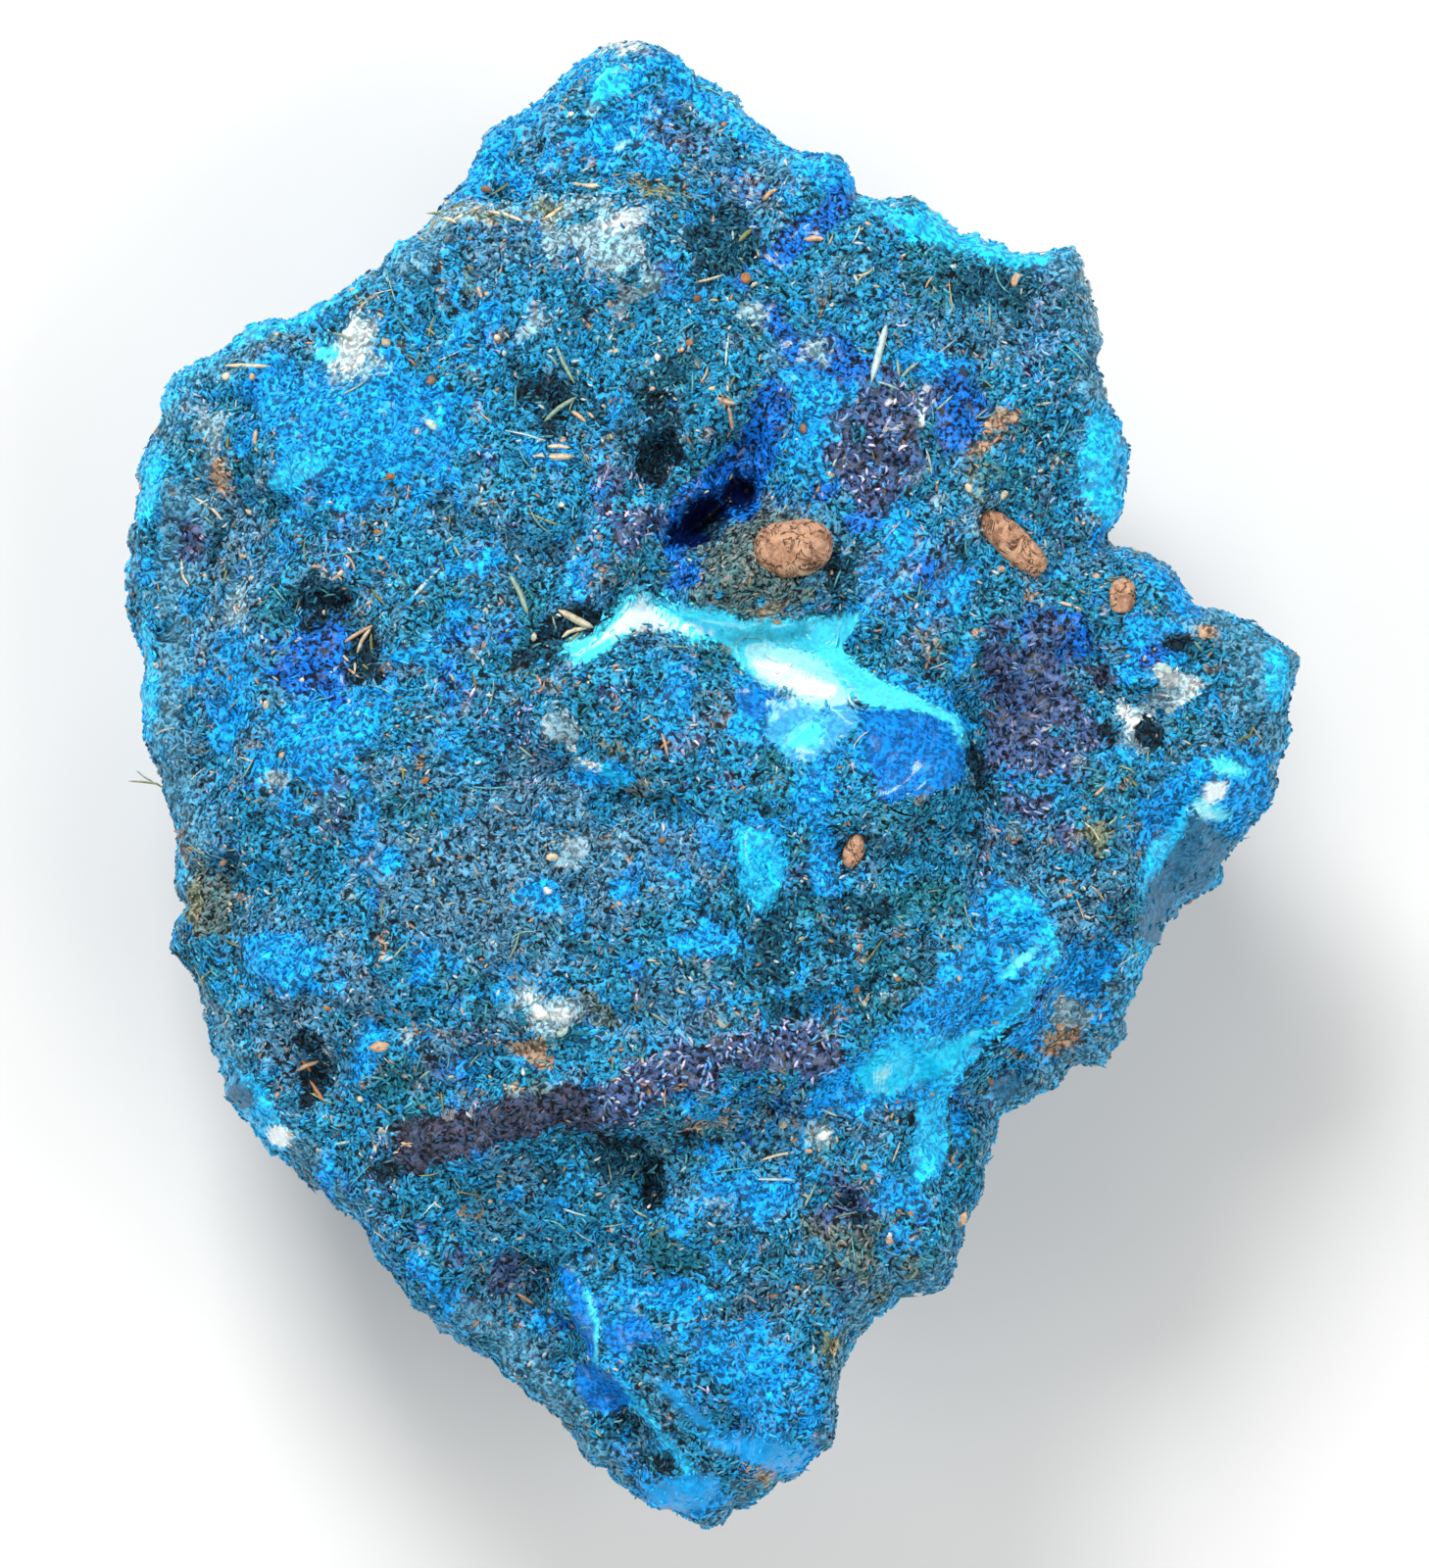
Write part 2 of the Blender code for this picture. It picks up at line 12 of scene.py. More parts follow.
import bpy
import numpy as np
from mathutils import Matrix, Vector


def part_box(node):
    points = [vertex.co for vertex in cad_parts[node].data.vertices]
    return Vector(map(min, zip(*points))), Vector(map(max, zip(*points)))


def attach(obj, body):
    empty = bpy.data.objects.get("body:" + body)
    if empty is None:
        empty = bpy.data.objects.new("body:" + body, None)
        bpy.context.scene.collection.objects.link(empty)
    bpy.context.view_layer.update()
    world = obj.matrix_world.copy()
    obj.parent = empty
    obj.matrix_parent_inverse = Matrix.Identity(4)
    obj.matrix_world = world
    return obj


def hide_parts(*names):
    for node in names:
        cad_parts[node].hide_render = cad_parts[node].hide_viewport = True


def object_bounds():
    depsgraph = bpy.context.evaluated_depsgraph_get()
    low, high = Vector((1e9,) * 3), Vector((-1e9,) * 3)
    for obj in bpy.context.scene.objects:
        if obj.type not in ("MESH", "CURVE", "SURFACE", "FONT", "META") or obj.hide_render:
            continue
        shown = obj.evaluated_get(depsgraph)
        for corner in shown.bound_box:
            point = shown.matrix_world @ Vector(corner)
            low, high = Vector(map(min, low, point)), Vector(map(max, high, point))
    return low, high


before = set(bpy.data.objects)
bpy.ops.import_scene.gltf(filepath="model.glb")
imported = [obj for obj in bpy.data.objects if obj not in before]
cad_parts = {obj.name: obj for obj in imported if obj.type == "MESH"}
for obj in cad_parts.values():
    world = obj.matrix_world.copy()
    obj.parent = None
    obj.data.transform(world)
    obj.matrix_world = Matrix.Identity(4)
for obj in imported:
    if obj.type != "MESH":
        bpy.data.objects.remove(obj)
CAD_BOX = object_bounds()

bl_info = {
    "name": "Rough Turquoise",
    "version": (1, 0, 0),
    "blender": (4, 5, 0),
    "location": "3D View > Sidebar > Turquoise",
    "description": "Dresses a rough lump of turquoise in its crust, glaze, pebbles and straw",
    "category": "Object",
}

MM = 0.001
BODY = "root"

# The form's sizes, the same as the solid's.
RIM_ROUNDING = 4.5
RIM_JAG = 0.65
RIM_JAG_CELL = 3.2
RIM_JAG_INSET = 0.8
FOOT_HEIGHT = 6.0
FOOT_RING = 0.56
RESTING_SINK = 3.2
SPOT_REACH = 6.0
WARP_CELL = 7.0
WARP = 1.3
LINE_TAPER = 0.16
MOUND_REACH = 1.25
FACE_CHIP = 1.3
FACE_CHIP_CELL = 9.5
FACE_LUMP = 0.7
FACE_LUMP_CELL = 4.6
PEBBLE_LUMP = 0.05
PEBBLE_LUMP_CELL = 0.9
PEBBLE_BOX = 2.6

# The wall on its way down: how its height falls, how soon its outline evens out, tucks in, breaks
# and turns under, the least share of it that a break leaves, and its two sizes of chips.
WALL_FALL = 0.92
WALL_EVENING = 2.2
WALL_EVENING_TURN = 7
WALL_TUCK = 1.5
BREAK_ONSET = 5
BREAK_LEAST = 0.45
BREAK_FACING = 0.1
UNDER_ONSET = 4
WALL_CHIP = 2.8
WALL_CHIP_CELL = 13
FINE_CHIP = 1.2
FINE_CHIP_CELL = 6
WALL_LUMP = 0.5
WALL_LUMP_CELL = 4.2
WALL_CHIP_INSET = 1.2
UNDER_CHIP = 0.6

# The outline, clockwise from the top peak: x to the right and y up, from the middle of the face.
OUTLINE = [
    (-8.3, 76.2), (-6.1, 75.4), (-2.3, 73.8), (-0.7, 72.2), (2.9, 70), (3.4, 68.6),
    (7.7, 65.6), (11.2, 64.5), (14.5, 62.8), (15.2, 60.4), (18.2, 60), (22.2, 59.7),
    (23.9, 58.5), (26.2, 56), (30.7, 54.8), (33.7, 54.3), (37.2, 54.6), (38.5, 52.8),
    (39.5, 49.5), (40, 45.5), (39.5, 43), (40.3, 40.5), (42.2, 37), (42.9, 33.5),
    (42.2, 27.5), (41.1, 25.5), (42.7, 24), (46.2, 22.5), (48.2, 20), (50.2, 18),
    (52.7, 17.6), (56.2, 16.5), (58.2, 15), (60.2, 13), (60.5, 10.5), (58.9, 7),
    (59.1, 4), (57.9, 0), (56.2, -4.5), (53.2, -9.5), (50.7, -12), (47.2, -14.8),
    (44.5, -18.5), (44.2, -21.5), (42.5, -25.5), (41.2, -28.5), (38.7, -29.2),
    (35.7, -31), (32.2, -33), (30.2, -34), (29.5, -37.5), (28, -41.5),
    (26.7, -45.5), (25.2, -49.5), (23.9, -51.5), (20.2, -52.5), (17.2, -54.5),
    (14.7, -58), (13.4, -61), (12.7, -67.5), (9.2, -70.3), (3.7, -74.5), (1.7, -76.2),
    (-2.3, -75.8), (-5.3, -74.5), (-7.3, -73), (-12.3, -69.5), (-14.3, -66.5),
    (-17.8, -63.5), (-22.3, -59.5), (-27.3, -56.5), (-30.3, -53), (-36.3, -45),
    (-42.3, -40), (-47.8, -35), (-49.3, -31.5), (-50.1, -28), (-51.8, -23),
    (-54.3, -18.5), (-55.5, -16.8), (-54.3, -13), (-54.3, -7.5), (-54.8, -3.5),
    (-57.3, 3), (-58.3, 6.5), (-58.1, 10), (-59.5, 17), (-59.3, 19.5),
    (-60.5, 22.5), (-59.8, 25.5), (-58.8, 29.5), (-57.3, 35.5), (-55.5, 37),
    (-55.7, 39.5), (-54.8, 41.5), (-51.8, 43.5), (-45.3, 47), (-40.3, 48),
    (-36.3, 50), (-32.8, 52.5), (-29.3, 56.5), (-26.8, 58.5), (-24.5, 61),
    (-22.5, 66.2), (-17.8, 69.7), (-14.8, 72), (-10.3, 75.5),
]

# Spot heights of the face: x, y and the height above the resting plane.
SPOT_HEIGHTS = [
    (-8, 72, 38), (-12, 64, 41), (0, 66, 41), (8, 60, 40), (23, 56, 41), (36, 51, 40),
    (37, 38, 41), (39, 30, 38), (23, 47, 44), (8, 48, 45), (-8, 53, 47), (-24, 52, 44),
    (-37, 45, 44), (-50, 42, 39), (-54, 30, 37), (-56, 18, 35), (-53, 5, 37), (-50, -10, 38),
    (-42, 35, 46), (-32, 35, 47), (-42, 15, 45), (-42, -5, 45), (-27, 20, 47), (-27, 5, 48),
    (-27, -15, 48), (-12, 40, 45), (-12, 25, 47), (-2, 35, 44), (-7, 8, 49), (13, 5, 50),
    (18, -5, 50), (-2, -10, 49), (-12, -20, 48), (8, -20, 49), (23, -15, 49), (33, 10, 43),
    (33, -5, 44), (43, 15, 44), (53, 10, 41), (50, -2, 42), (52, -10, 34), (38, -15, 44),
    (38, -25, 39), (33, -30, 36), (28, -40, 40), (18, -40, 44), (23, -48, 39), (8, -45, 45),
    (13, -55, 41), (8, -65, 40), (3, -73, 34), (-4, -60, 43), (-7, -70, 37), (-16, -60, 37),
    (-22, -50, 40), (-32, -40, 42), (-42, -33, 40), (-37, -20, 45), (-22, -35, 46),
    (18, 25, 44), (30, 32, 43), (22, 15, 47), (-53, -22, 36), (-34, -48, 37),
]

# Eight values round the stone, counter-clockwise from +X: how far the rim lies under the face
# beside it, how much of the outline the foot keeps, and how much higher its foot begins.
RIM_DROP = [6, 5, 4, 5, 6, 8, 6, 7]
FOOT_SHARE = [0.84, 0.92, 0.84, 0.94, 0.94, 0.92, 0.76, 0.90]
FOOT_LIFT = [3, 1, 4, 0, 2, 1, 6, 3]


class Mound(NamedTuple):
    """A raised or, with a negative rise, a sunken oval; a shoulder under 1 makes its top flat."""

    name: str
    x: float
    y: float
    half_length: float
    half_width: float
    turn: float
    rise: float
    shoulder: float = 1.0


class Ledge(NamedTuple):
    """A broken edge: the ground to the right of the line, as it is walked, lies lower."""

    name: str
    line: list
    drop: float
    slope: float
    reach: float


class Ridge(NamedTuple):
    """A crest or, with a negative rise, a groove along a line."""

    name: str
    line: list
    rise: float
    half_width: float


class Fracture(NamedTuple):
    """A flat break in the wall: where it faces, how far it faces down, and how deep it lies
    inside the outline's farthest point at the given height."""

    azimuth: float
    lean: float
    depth: float
    height: float


FRACTURES = [
    Fracture(8, 24, 3, 33), Fracture(38, 10, 5, 33), Fracture(62, 30, 2, 33), Fracture(88, 16, 6, 33),
    Fracture(118, 32, 3, 33), Fracture(140, 12, 2, 33), Fracture(166, 22, 2, 33),
    Fracture(188, 6, 3, 33), Fracture(206, 34, 4, 33), Fracture(228, 18, 1, 33),
    Fracture(252, 28, 3, 33), Fracture(276, 38, 6, 33), Fracture(296, 14, 3, 33),
    Fracture(318, 28, 2, 33), Fracture(342, 30, 5, 33), Fracture(22, 60, 18, 8),
    Fracture(100, 62, 22, 9), Fracture(178, 56, 13, 8), Fracture(236, 62, 17, 10),
    Fracture(300, 58, 16, 7),
]

MOUNDS = [
    Mound("grey dome", -6.6, 7.6, 10.6, 8.2, -8, 3.2, 0.8),
    Mound("blue block", 16.0, 2.0, 11.0, 8.0, 0, 2.6, 0.6),
    Mound("pebble lump", 4.6, 22.2, 9.4, 5.6, 20, 3.6),
    Mound("cobalt hollow", 1.4, 29.0, 12.5, 5.0, 57, -4.6, 0.8),
    Mound("upper cobalt hole", 3.4, 29.5, 2.4, 2.0, 40, -3.4),
    Mound("lower cobalt hole", -0.6, 26.8, 3.8, 2.1, 40, -3.6),
    Mound("glazed hollow", 6.5, 15.0, 11.0, 4.6, -8, -4.2, 0.8),
    Mound("glazed corner", -7.0, 18.4, 5.5, 2.6, 12, -3.0),
    Mound("black fissure", -4.3, 32.5, 3.6, 2.6, 60, -3.2),
    Mound("straw hollow", -14.8, 36.5, 6.5, 4.6, 10, -2.0),
    Mound("left hollow", -38.3, 17.8, 3.8, 3.2, 0, -2.8),
    Mound("left straw nest", -34.8, 13.0, 3.0, 3.6, 0, -1.5),
    Mound("lower hollow", -6.0, -39.2, 4.2, 4.4, 0, -3.4),
    Mound("whitish boss", -8.8, 53.0, 5.2, 6.0, 0, 1.6),
    Mound("azure block", -35.0, 34.5, 10.5, 7.0, -5, 1.6, 0.6),
    Mound("blue fang", 5.2, -9.0, 5.0, 2.4, 80, 2.2),
    Mound("right lobe ridge", 46.7, 10.5, 6.0, 3.0, -15, 1.6),
    Mound("right lobe pit", 43.5, 6.6, 3.0, 2.0, -20, -2.0),
    Mound("glinting boss", 49.2, -0.5, 6.0, 5.0, 20, 2.0),
    Mound("violet basin", 34.0, 8.0, 8.5, 11.0, 10, -2.4),
    Mound("cobalt basin", 37.5, 14.5, 6.0, 4.5, -20, -1.6),
    Mound("violet boss", 19.5, 35.5, 6.5, 6.0, 0, 1.4),
    Mound("rim pit", 13.2, -41.7, 2.2, 2.0, 0, -2.6),
    Mound("pale chip", -16.1, -24.8, 3.4, 3.0, 0, 1.7, 0.6),
    Mound("pale blob", -13.3, -7.0, 3.2, 2.4, -40, 1.0),
    Mound("crest block", 24.0, -23.0, 11.0, 6.0, 44, 1.3, 0.6),
    Mound("fibre hollow", -39.8, -29.5, 3.0, 4.2, 0, -1.8),
    Mound("left boss", -31.8, -26.5, 3.6, 3.0, 0, 1.3),
    Mound("low blue boss", -41.0, 1.6, 4.0, 3.0, 0, 1.2),
    Mound("bottom block", 4.0, -58.0, 10.0, 8.0, -30, 1.8, 0.6),
    Mound("bottom nose", 5.0, -67.0, 7.0, 4.0, 20, 1.6),
    Mound("side facet", -46.0, -35.5, 6.5, 3.0, -42, -4.2),
    Mound("right facet", 50.5, -10.0, 8.0, 4.5, 55, -4.0),
]

LEDGES = [
    Ledge("peak ledge", [(5, 54), (-4, 58.5), (-12, 59.5), (-22, 57), (-30, 55)], 2.8, 1.8, 13),
    Ledge("block edge", [(33, -12), (28.5, -7), (25.8, -1), (25.6, 6), (23.5, 10.5)], 3.6, 1.4, 9),
    Ledge("dome edge", [(-17, 11), (-16.5, 5), (-13, 1), (-6, -0.5), (1, -1.5)], 1.8, 1.6, 7),
    Ledge("band ledge", [(-30, -37.8), (-16, -35.2), (-8, -33.8), (-2, -32.5), (14, -29.5)], 2.4, 1.6, 9),
    Ledge("crest ledge", [(22, -31.8), (25, -28.4), (29, -25.2), (32.2, -21.6), (34.9, -18),
                          (34.4, -13.5)], 3.2, 2.0, 10),
    Ledge("crest foot", [(21.5, -42), (22.6, -36), (22, -30)], 1.8, 1.6, 6),
    Ledge("wedge facet", [(-16, -44), (-13.4, -50), (-11, -55), (-8, -60), (-5.6, -64.5),
                          (-1, -70)], 4.6, 3.4, 15),
    Ledge("blue tongue", [(9, -52.5), (0, -53.5), (-9, -52)], 1.6, 1.2, 6),
    Ledge("azure edge", [(-44.5, 41), (-43.8, 34), (-43.4, 29), (-40, 28)], 2.0, 1.2, 9),
    Ledge("left shoulder", [(-44, 25), (-46, 18), (-45, 8), (-46, -4), (-44, -14)], 1.8, 2.5, 10),
    Ledge("lump overhang", [(-7, 20), (-3, 18.4), (5, 17.2), (14.5, 18.5)], 2.2, 1.0, 5),
]

RIDGES = [
    Ridge("violet band", [(-30, -36.4), (-22, -33.5), (-8, -31), (-2, -27), (5, -25.5),
                          (13.5, -26)], 1.2, 2.4),
    Ridge("cyan crest", [(31, -11.5), (33.4, -16), (31.4, -20.4), (27.6, -24.4), (24, -27.4),
                         (21.6, -30)], 1.9, 2.8),
    Ridge("standing vein", [(12, 1), (11.3, -5), (11, -12)], 1.2, 1.3),
    Ridge("azure crust", [(-46, -15.5), (-45, -18.5), (-42, -20.5), (-38, -18.5)], 1.4, 1.6),
    Ridge("short crust", [(-32.5, -24), (-35.4, -27), (-35.5, -30)], 1.2, 1.3),
    Ridge("wedge crest", [(-15, -49), (-11.5, -54), (-8.5, -59), (-5, -64)], 1.4, 1.8),
    Ridge("nose crest", [(-8, -63), (-1, -66), (2.5, -69), (7, -69)], 1.2, 1.6),
]


class Pebble(NamedTuple):
    """A pebble bedded in the face: where it lies, its full size and how far it stands proud."""

    name: str
    x: float
    y: float
    length: float
    width: float
    thickness: float
    turn: float
    proud: float
    seed: int


PEBBLES = [
    Pebble("round_brown_pebble", 8.5, 23.4, 8.2, 6.0, 4.8, 8, 1.9, 41),
    Pebble("long_brown_pebble", 30.5, 24.2, 8.8, 3.8, 3.2, -43, 1.2, 42),
    Pebble("small_brown_pebble", 41.6, 18.8, 3.8, 2.9, 2.6, 85, 1.1, 43),
    Pebble("red_brown_chip", 14.6, -6.5, 4.0, 2.3, 2.2, 70, 1.0, 44),
]


def smooth_step(share):
    """0 below 0, 1 above 1, and a smooth S between."""
    share = np.clip(share, 0, 1)
    return share * share * (3 - 2 * share)


def hashed(cells, seed):
    """A repeatable number from -1 to 1 for each lattice cell."""
    key = cells[..., 0] * 73856093 ^ cells[..., 1] * 19349663 ^ cells[..., 2] * 83492791
    key = (key ^ seed * 40503) & 0x7FFFFFFF
    key = (key ^ key >> 15) * 73244475 & 0x7FFFFFFF
    key = (key ^ key >> 13) * 19990303 & 0x7FFFFFFF
    return ((key ^ key >> 16) & 0xFFFF) / 32767.5 - 1


def value_noise(places, cell, seed):
    """Random values at the corners of a cubic lattice, blended smoothly between them."""
    scaled = places / cell
    corner = np.floor(scaled).astype(np.int64)
    share = smooth_step(scaled - corner)
    total = np.zeros(len(places))
    for step in itertools.product((0, 1), repeat=3):
        weight = np.prod(np.where(step, share, 1 - share), axis=1)
        total += weight * hashed(corner + step, seed)
    return total


def rough(places, cell, seed, octaves=3):
    """Several layers of value noise, each half as wide and half as high as the one before; the
    seed tells one noise from another."""
    return sum(value_noise(places, cell / 2**i, seed + i) / 2**i for i in range(octaves))


def chipped(places, cell, seed):
    """Broken facets: round jittered seeds, each with a tilted plane, blended in a narrow band."""
    corner = np.floor(places / cell).astype(np.int64)
    heights, distances = [], []
    for step in itertools.product((-1, 0, 1), repeat=3):
        at = corner + step
        jitter = np.stack([hashed(at, seed + i) for i in range(3)], axis=1) * 0.45
        tilt = np.stack([hashed(at, seed + i) for i in range(3, 6)], axis=1)
        away = places / cell - (at + 0.5 + jitter)
        distances.append(np.linalg.norm(away, axis=1))
        heights.append((away * tilt).sum(axis=1) + 0.5 * hashed(at, seed + 6))
    distances, heights = np.array(distances), np.array(heights)
    weight = np.exp(-18 * (distances - distances.min(axis=0)))
    return (weight * heights).sum(axis=0) / weight.sum(axis=0)


def around(angle, values):
    """A value that changes smoothly through the given ones, evenly spaced round a full turn."""
    values = np.array(values, float)
    place = np.mod(angle, 2 * np.pi) / (2 * np.pi) * len(values)
    low = np.floor(place).astype(int)
    share = smooth_step(place - low)
    return values[low % len(values)] * (1 - share) + values[(low + 1) % len(values)] * share


def outline_radius(angle):
    """How far the outline lies from the middle in each direction: ray against polygon side."""
    points = np.array(OUTLINE)[::-1]
    turns = np.arctan2(points[:, 1], points[:, 0])
    first = turns.argmin()
    points, turns = np.roll(points, -first, axis=0), np.roll(turns, -first)
    angle = np.mod(angle + np.pi, 2 * np.pi) - np.pi
    after = np.searchsorted(turns, angle) % len(points)
    start, end = points[after - 1], points[after]
    along = end - start
    ray = np.stack([np.cos(angle), np.sin(angle)], axis=1)
    cross = start[:, 0] * along[:, 1] - start[:, 1] * along[:, 0]
    return cross / (ray[:, 0] * along[:, 1] - ray[:, 1] * along[:, 0])


def line_offsets(x, y, line):
    """Each place's distance from a line of points, how far it lies to the line's right, and a
    share that is 1 along the line and falls to 0 at both of its ends."""
    lengths = np.array([np.hypot(bx - ax, by - ay) for (ax, ay), (bx, by) in itertools.pairwise(line)])
    starts = np.concatenate([[0], np.cumsum(lengths)])
    nearest = np.full(len(x), np.inf)
    to_right = np.zeros(len(x))
    walked = np.zeros(len(x))
    for ((ax, ay), (bx, by)), length, start in zip(itertools.pairwise(line), lengths, starts):
        along_x, along_y = (bx - ax) / length, (by - ay) / length
        along = np.clip((x - ax) * along_x + (y - ay) * along_y, 0, length)
        distance = np.hypot(x - ax - along * along_x, y - ay - along * along_y)
        closer = distance < nearest
        right = (x - ax) * along_y - (y - ay) * along_x
        to_right = np.where(closer, right, to_right)
        walked = np.where(closer, start + along, walked)
        nearest = np.minimum(nearest, distance)
    share = walked / starts[-1]
    return nearest, to_right, smooth_step(np.minimum(share, 1 - share) / LINE_TAPER)


def turned(x, y, shape):
    """How far each place lies along and across a shape, from its middle and by its turn."""
    turn = np.radians(shape.turn)
    along = (x - shape.x) * np.cos(turn) + (y - shape.y) * np.sin(turn)
    across = (y - shape.y) * np.cos(turn) - (x - shape.x) * np.sin(turn)
    return along, across


def mound_height(x, y, mound):
    """A smooth oval that reaches its full rise within its shoulder and ends past its half sizes."""
    along, across = turned(x, y, mound)
    reach = np.hypot(along / mound.half_length, across / mound.half_width)
    return mound.rise * smooth_step((MOUND_REACH - reach) / (MOUND_REACH * mound.shoulder))


def ledge_height(x, y, ledge):
    """A smooth step down over the slope to the line's right, fading with distance from it."""
    distance, right, taper = line_offsets(x, y, ledge.line)
    fade = np.exp(-((distance / ledge.reach) ** 2))
    return -ledge.drop * smooth_step(right / ledge.slope) * fade * taper


def ridge_height(x, y, ridge):
    """A bell curve across the line, tapered to both of its ends."""
    distance, _, taper = line_offsets(x, y, ridge.line)
    return ridge.rise * np.exp(-((distance / ridge.half_width) ** 2)) * taper


def ground(x, y):
    """The face's broad form: spot heights, each weighted by how near it lies."""
    spots = np.array(SPOT_HEIGHTS, float)
    apart = (x[:, None] - spots[:, 0]) ** 2 + (y[:, None] - spots[:, 1]) ** 2
    weight = np.exp(-apart / (2 * SPOT_REACH**2)) + 1e-12
    return weight @ spots[:, 2] / weight.sum(axis=1)


def face_height(x, y):
    """Height of the face above the resting plane: broad form, landforms, chips and lumps."""
    flat = np.stack([x, y, np.zeros(len(x))], axis=1)
    warped_x = x + WARP * rough(flat, WARP_CELL, seed=3)
    warped_y = y + WARP * rough(flat, WARP_CELL, seed=7)
    height = ground(x, y)
    height += sum(mound_height(warped_x, warped_y, mound) for mound in MOUNDS)
    height += sum(ledge_height(warped_x, warped_y, ledge) for ledge in LEDGES)
    height += sum(ridge_height(warped_x, warped_y, ridge) for ridge in RIDGES)
    chips = FACE_CHIP * chipped(flat, FACE_CHIP_CELL, seed=11)
    return height + chips + FACE_LUMP * rough(flat, FACE_LUMP_CELL, seed=21)


def inner_radius(angle):
    """A smooth outline that stays inside the jagged one: the least of what lies near, averaged."""
    turns = np.radians(np.arange(360))
    radius = outline_radius(turns)
    near = range(-WALL_EVENING_TURN, WALL_EVENING_TURN + 1)
    least = np.min([np.roll(radius, step) for step in near], axis=0)
    even = np.mean([np.roll(least, step) for step in near], axis=0)
    return np.interp(angle, turns, even, period=2 * np.pi)


def broken(angle, reach, height):
    """Shortens each ray's reach to the nearest fracture plane that crosses it at that height."""
    points = np.array(OUTLINE)
    for fracture in FRACTURES:
        azimuth, lean = np.radians(fracture.azimuth), np.radians(fracture.lean)
        farthest = (points @ (np.cos(azimuth), np.sin(azimuth))).max() - fracture.depth
        plane = farthest - (fracture.height - height) * np.tan(lean)
        toward = np.cos(angle - azimuth)
        cut = np.minimum(reach, plane / np.maximum(toward, BREAK_FACING))
        reach = np.where(toward > BREAK_FACING, cut, reach)
    return reach


def stone_places(angle, ring, upper):
    """The stone's surface, as a function of the angle round it and of a ring from 0 to 1.

    On the upper side the ring runs from the face's middle out to the rim. On the lower side it
    runs back from the rim down the wall to the foot, and then in under the stone, where the
    underside sinks a little below Z = 0.
    """
    ray = np.stack([np.cos(angle), np.sin(angle), np.zeros(len(angle))], axis=1)
    radius = outline_radius(angle)
    radius += RIM_JAG * (rough(ray * radius[:, None], RIM_JAG_CELL, seed=31) - RIM_JAG_INSET)

    rim_x, rim_y = ray[:, 0] * radius, ray[:, 1] * radius
    rim = face_height(rim_x, rim_y) - around(angle, RIM_DROP)
    x, y = rim_x * ring, rim_y * ring
    inward = np.clip((1 - ring) * radius / RIM_ROUNDING, 0, 1)
    rounding = np.sqrt(1 - (1 - inward) ** 2)
    face = np.stack([x, y, rim + (face_height(x, y) - rim) * rounding], axis=1)

    down = np.clip((1 - ring) / (1 - FOOT_RING), 0, 1)
    under = np.clip(ring / FOOT_RING, 0, 1)
    foot = FOOT_HEIGHT + around(angle, FOOT_LIFT)
    height = np.where(ring < FOOT_RING, foot * under**3, rim + (foot - rim) * down**WALL_FALL)
    inner = np.minimum(inner_radius(angle), radius)
    wall = radius + (inner - radius) * smooth_step(down * WALL_EVENING)
    wall *= 1 - (1 - around(angle, FOOT_SHARE)) * down**WALL_TUCK
    left = np.maximum(broken(angle, wall, height), BREAK_LEAST * wall)
    wall += (left - wall) * smooth_step(down * BREAK_ONSET)
    back = ray * (wall * under)[:, None]
    back[:, 2] = height

    side = smooth_step((ring - FOOT_RING) * UNDER_ONSET)
    chips = WALL_CHIP * chipped(back, WALL_CHIP_CELL, seed=51)
    chips += FINE_CHIP * chipped(back, FINE_CHIP_CELL, seed=61)
    chips += WALL_LUMP * rough(back, WALL_LUMP_CELL, seed=71)
    below_rim = smooth_step(down * UNDER_ONSET)
    back += ray * ((chips - WALL_CHIP_INSET) * below_rim * side)[:, None]
    back[:, 2] += UNDER_CHIP * chips * (1 - side) - RESTING_SINK * (1 - under)
    overhang = np.hypot(back[:, 0], back[:, 1]) / radius
    back[:, :2] /= np.maximum(overhang, 1)[:, None]
    return np.where(upper[:, None], face, back)


def pebble_level(pebble):
    """The height of the face where the pebble lies."""
    return face_height(np.array([pebble.x]), np.array([pebble.y]))[0]


def pebble_places(directions, pebble, grown):
    """An uneven, slightly boxy ellipsoid, with its half sizes grown by a few tenths."""
    half = np.array([pebble.length, pebble.width, pebble.thickness]) / 2
    uneven = 1 + PEBBLE_LUMP * rough(directions, PEBBLE_LUMP_CELL, pebble.seed, 2)
    boxy = uneven / (np.abs(directions) ** PEBBLE_BOX).sum(axis=1) ** (1 / PEBBLE_BOX)
    places = directions * boxy[:, None] * (half + grown)
    turn = np.radians(pebble.turn)
    x = places[:, 0] * np.cos(turn) - places[:, 1] * np.sin(turn)
    y = places[:, 0] * np.sin(turn) + places[:, 1] * np.cos(turn)
    z = places[:, 2] + pebble_level(pebble) + pebble.proud - half[2]
    return np.stack([x + pebble.x, y + pebble.y, z], axis=1)


class Finish(NamedTuple):
    """How a zone looks: its ground and its grains in linear colour, and four shares from 0 to 1:
    how many grains lie on it, its gloss, its relief, and how far its grains' tints spread."""

    ground: tuple
    grain: tuple
    density: float
    gloss: float
    grit: float
    spread: float


class Patch(NamedTuple):
    """An oval zone: its centre, half sizes, turn in degrees and how fully it covers."""

    x: float
    y: float
    half_length: float
    half_width: float
    turn: float = 0
    cover: float = 1


class Seam(NamedTuple):
    """A zone along a line: its points, half width and how fully it covers."""

    line: list
    half_width: float
    cover: float = 1


class Facet(NamedTuple):
    """A zone with corners: its outline and how fully it covers."""

    outline: list
    cover: float = 1


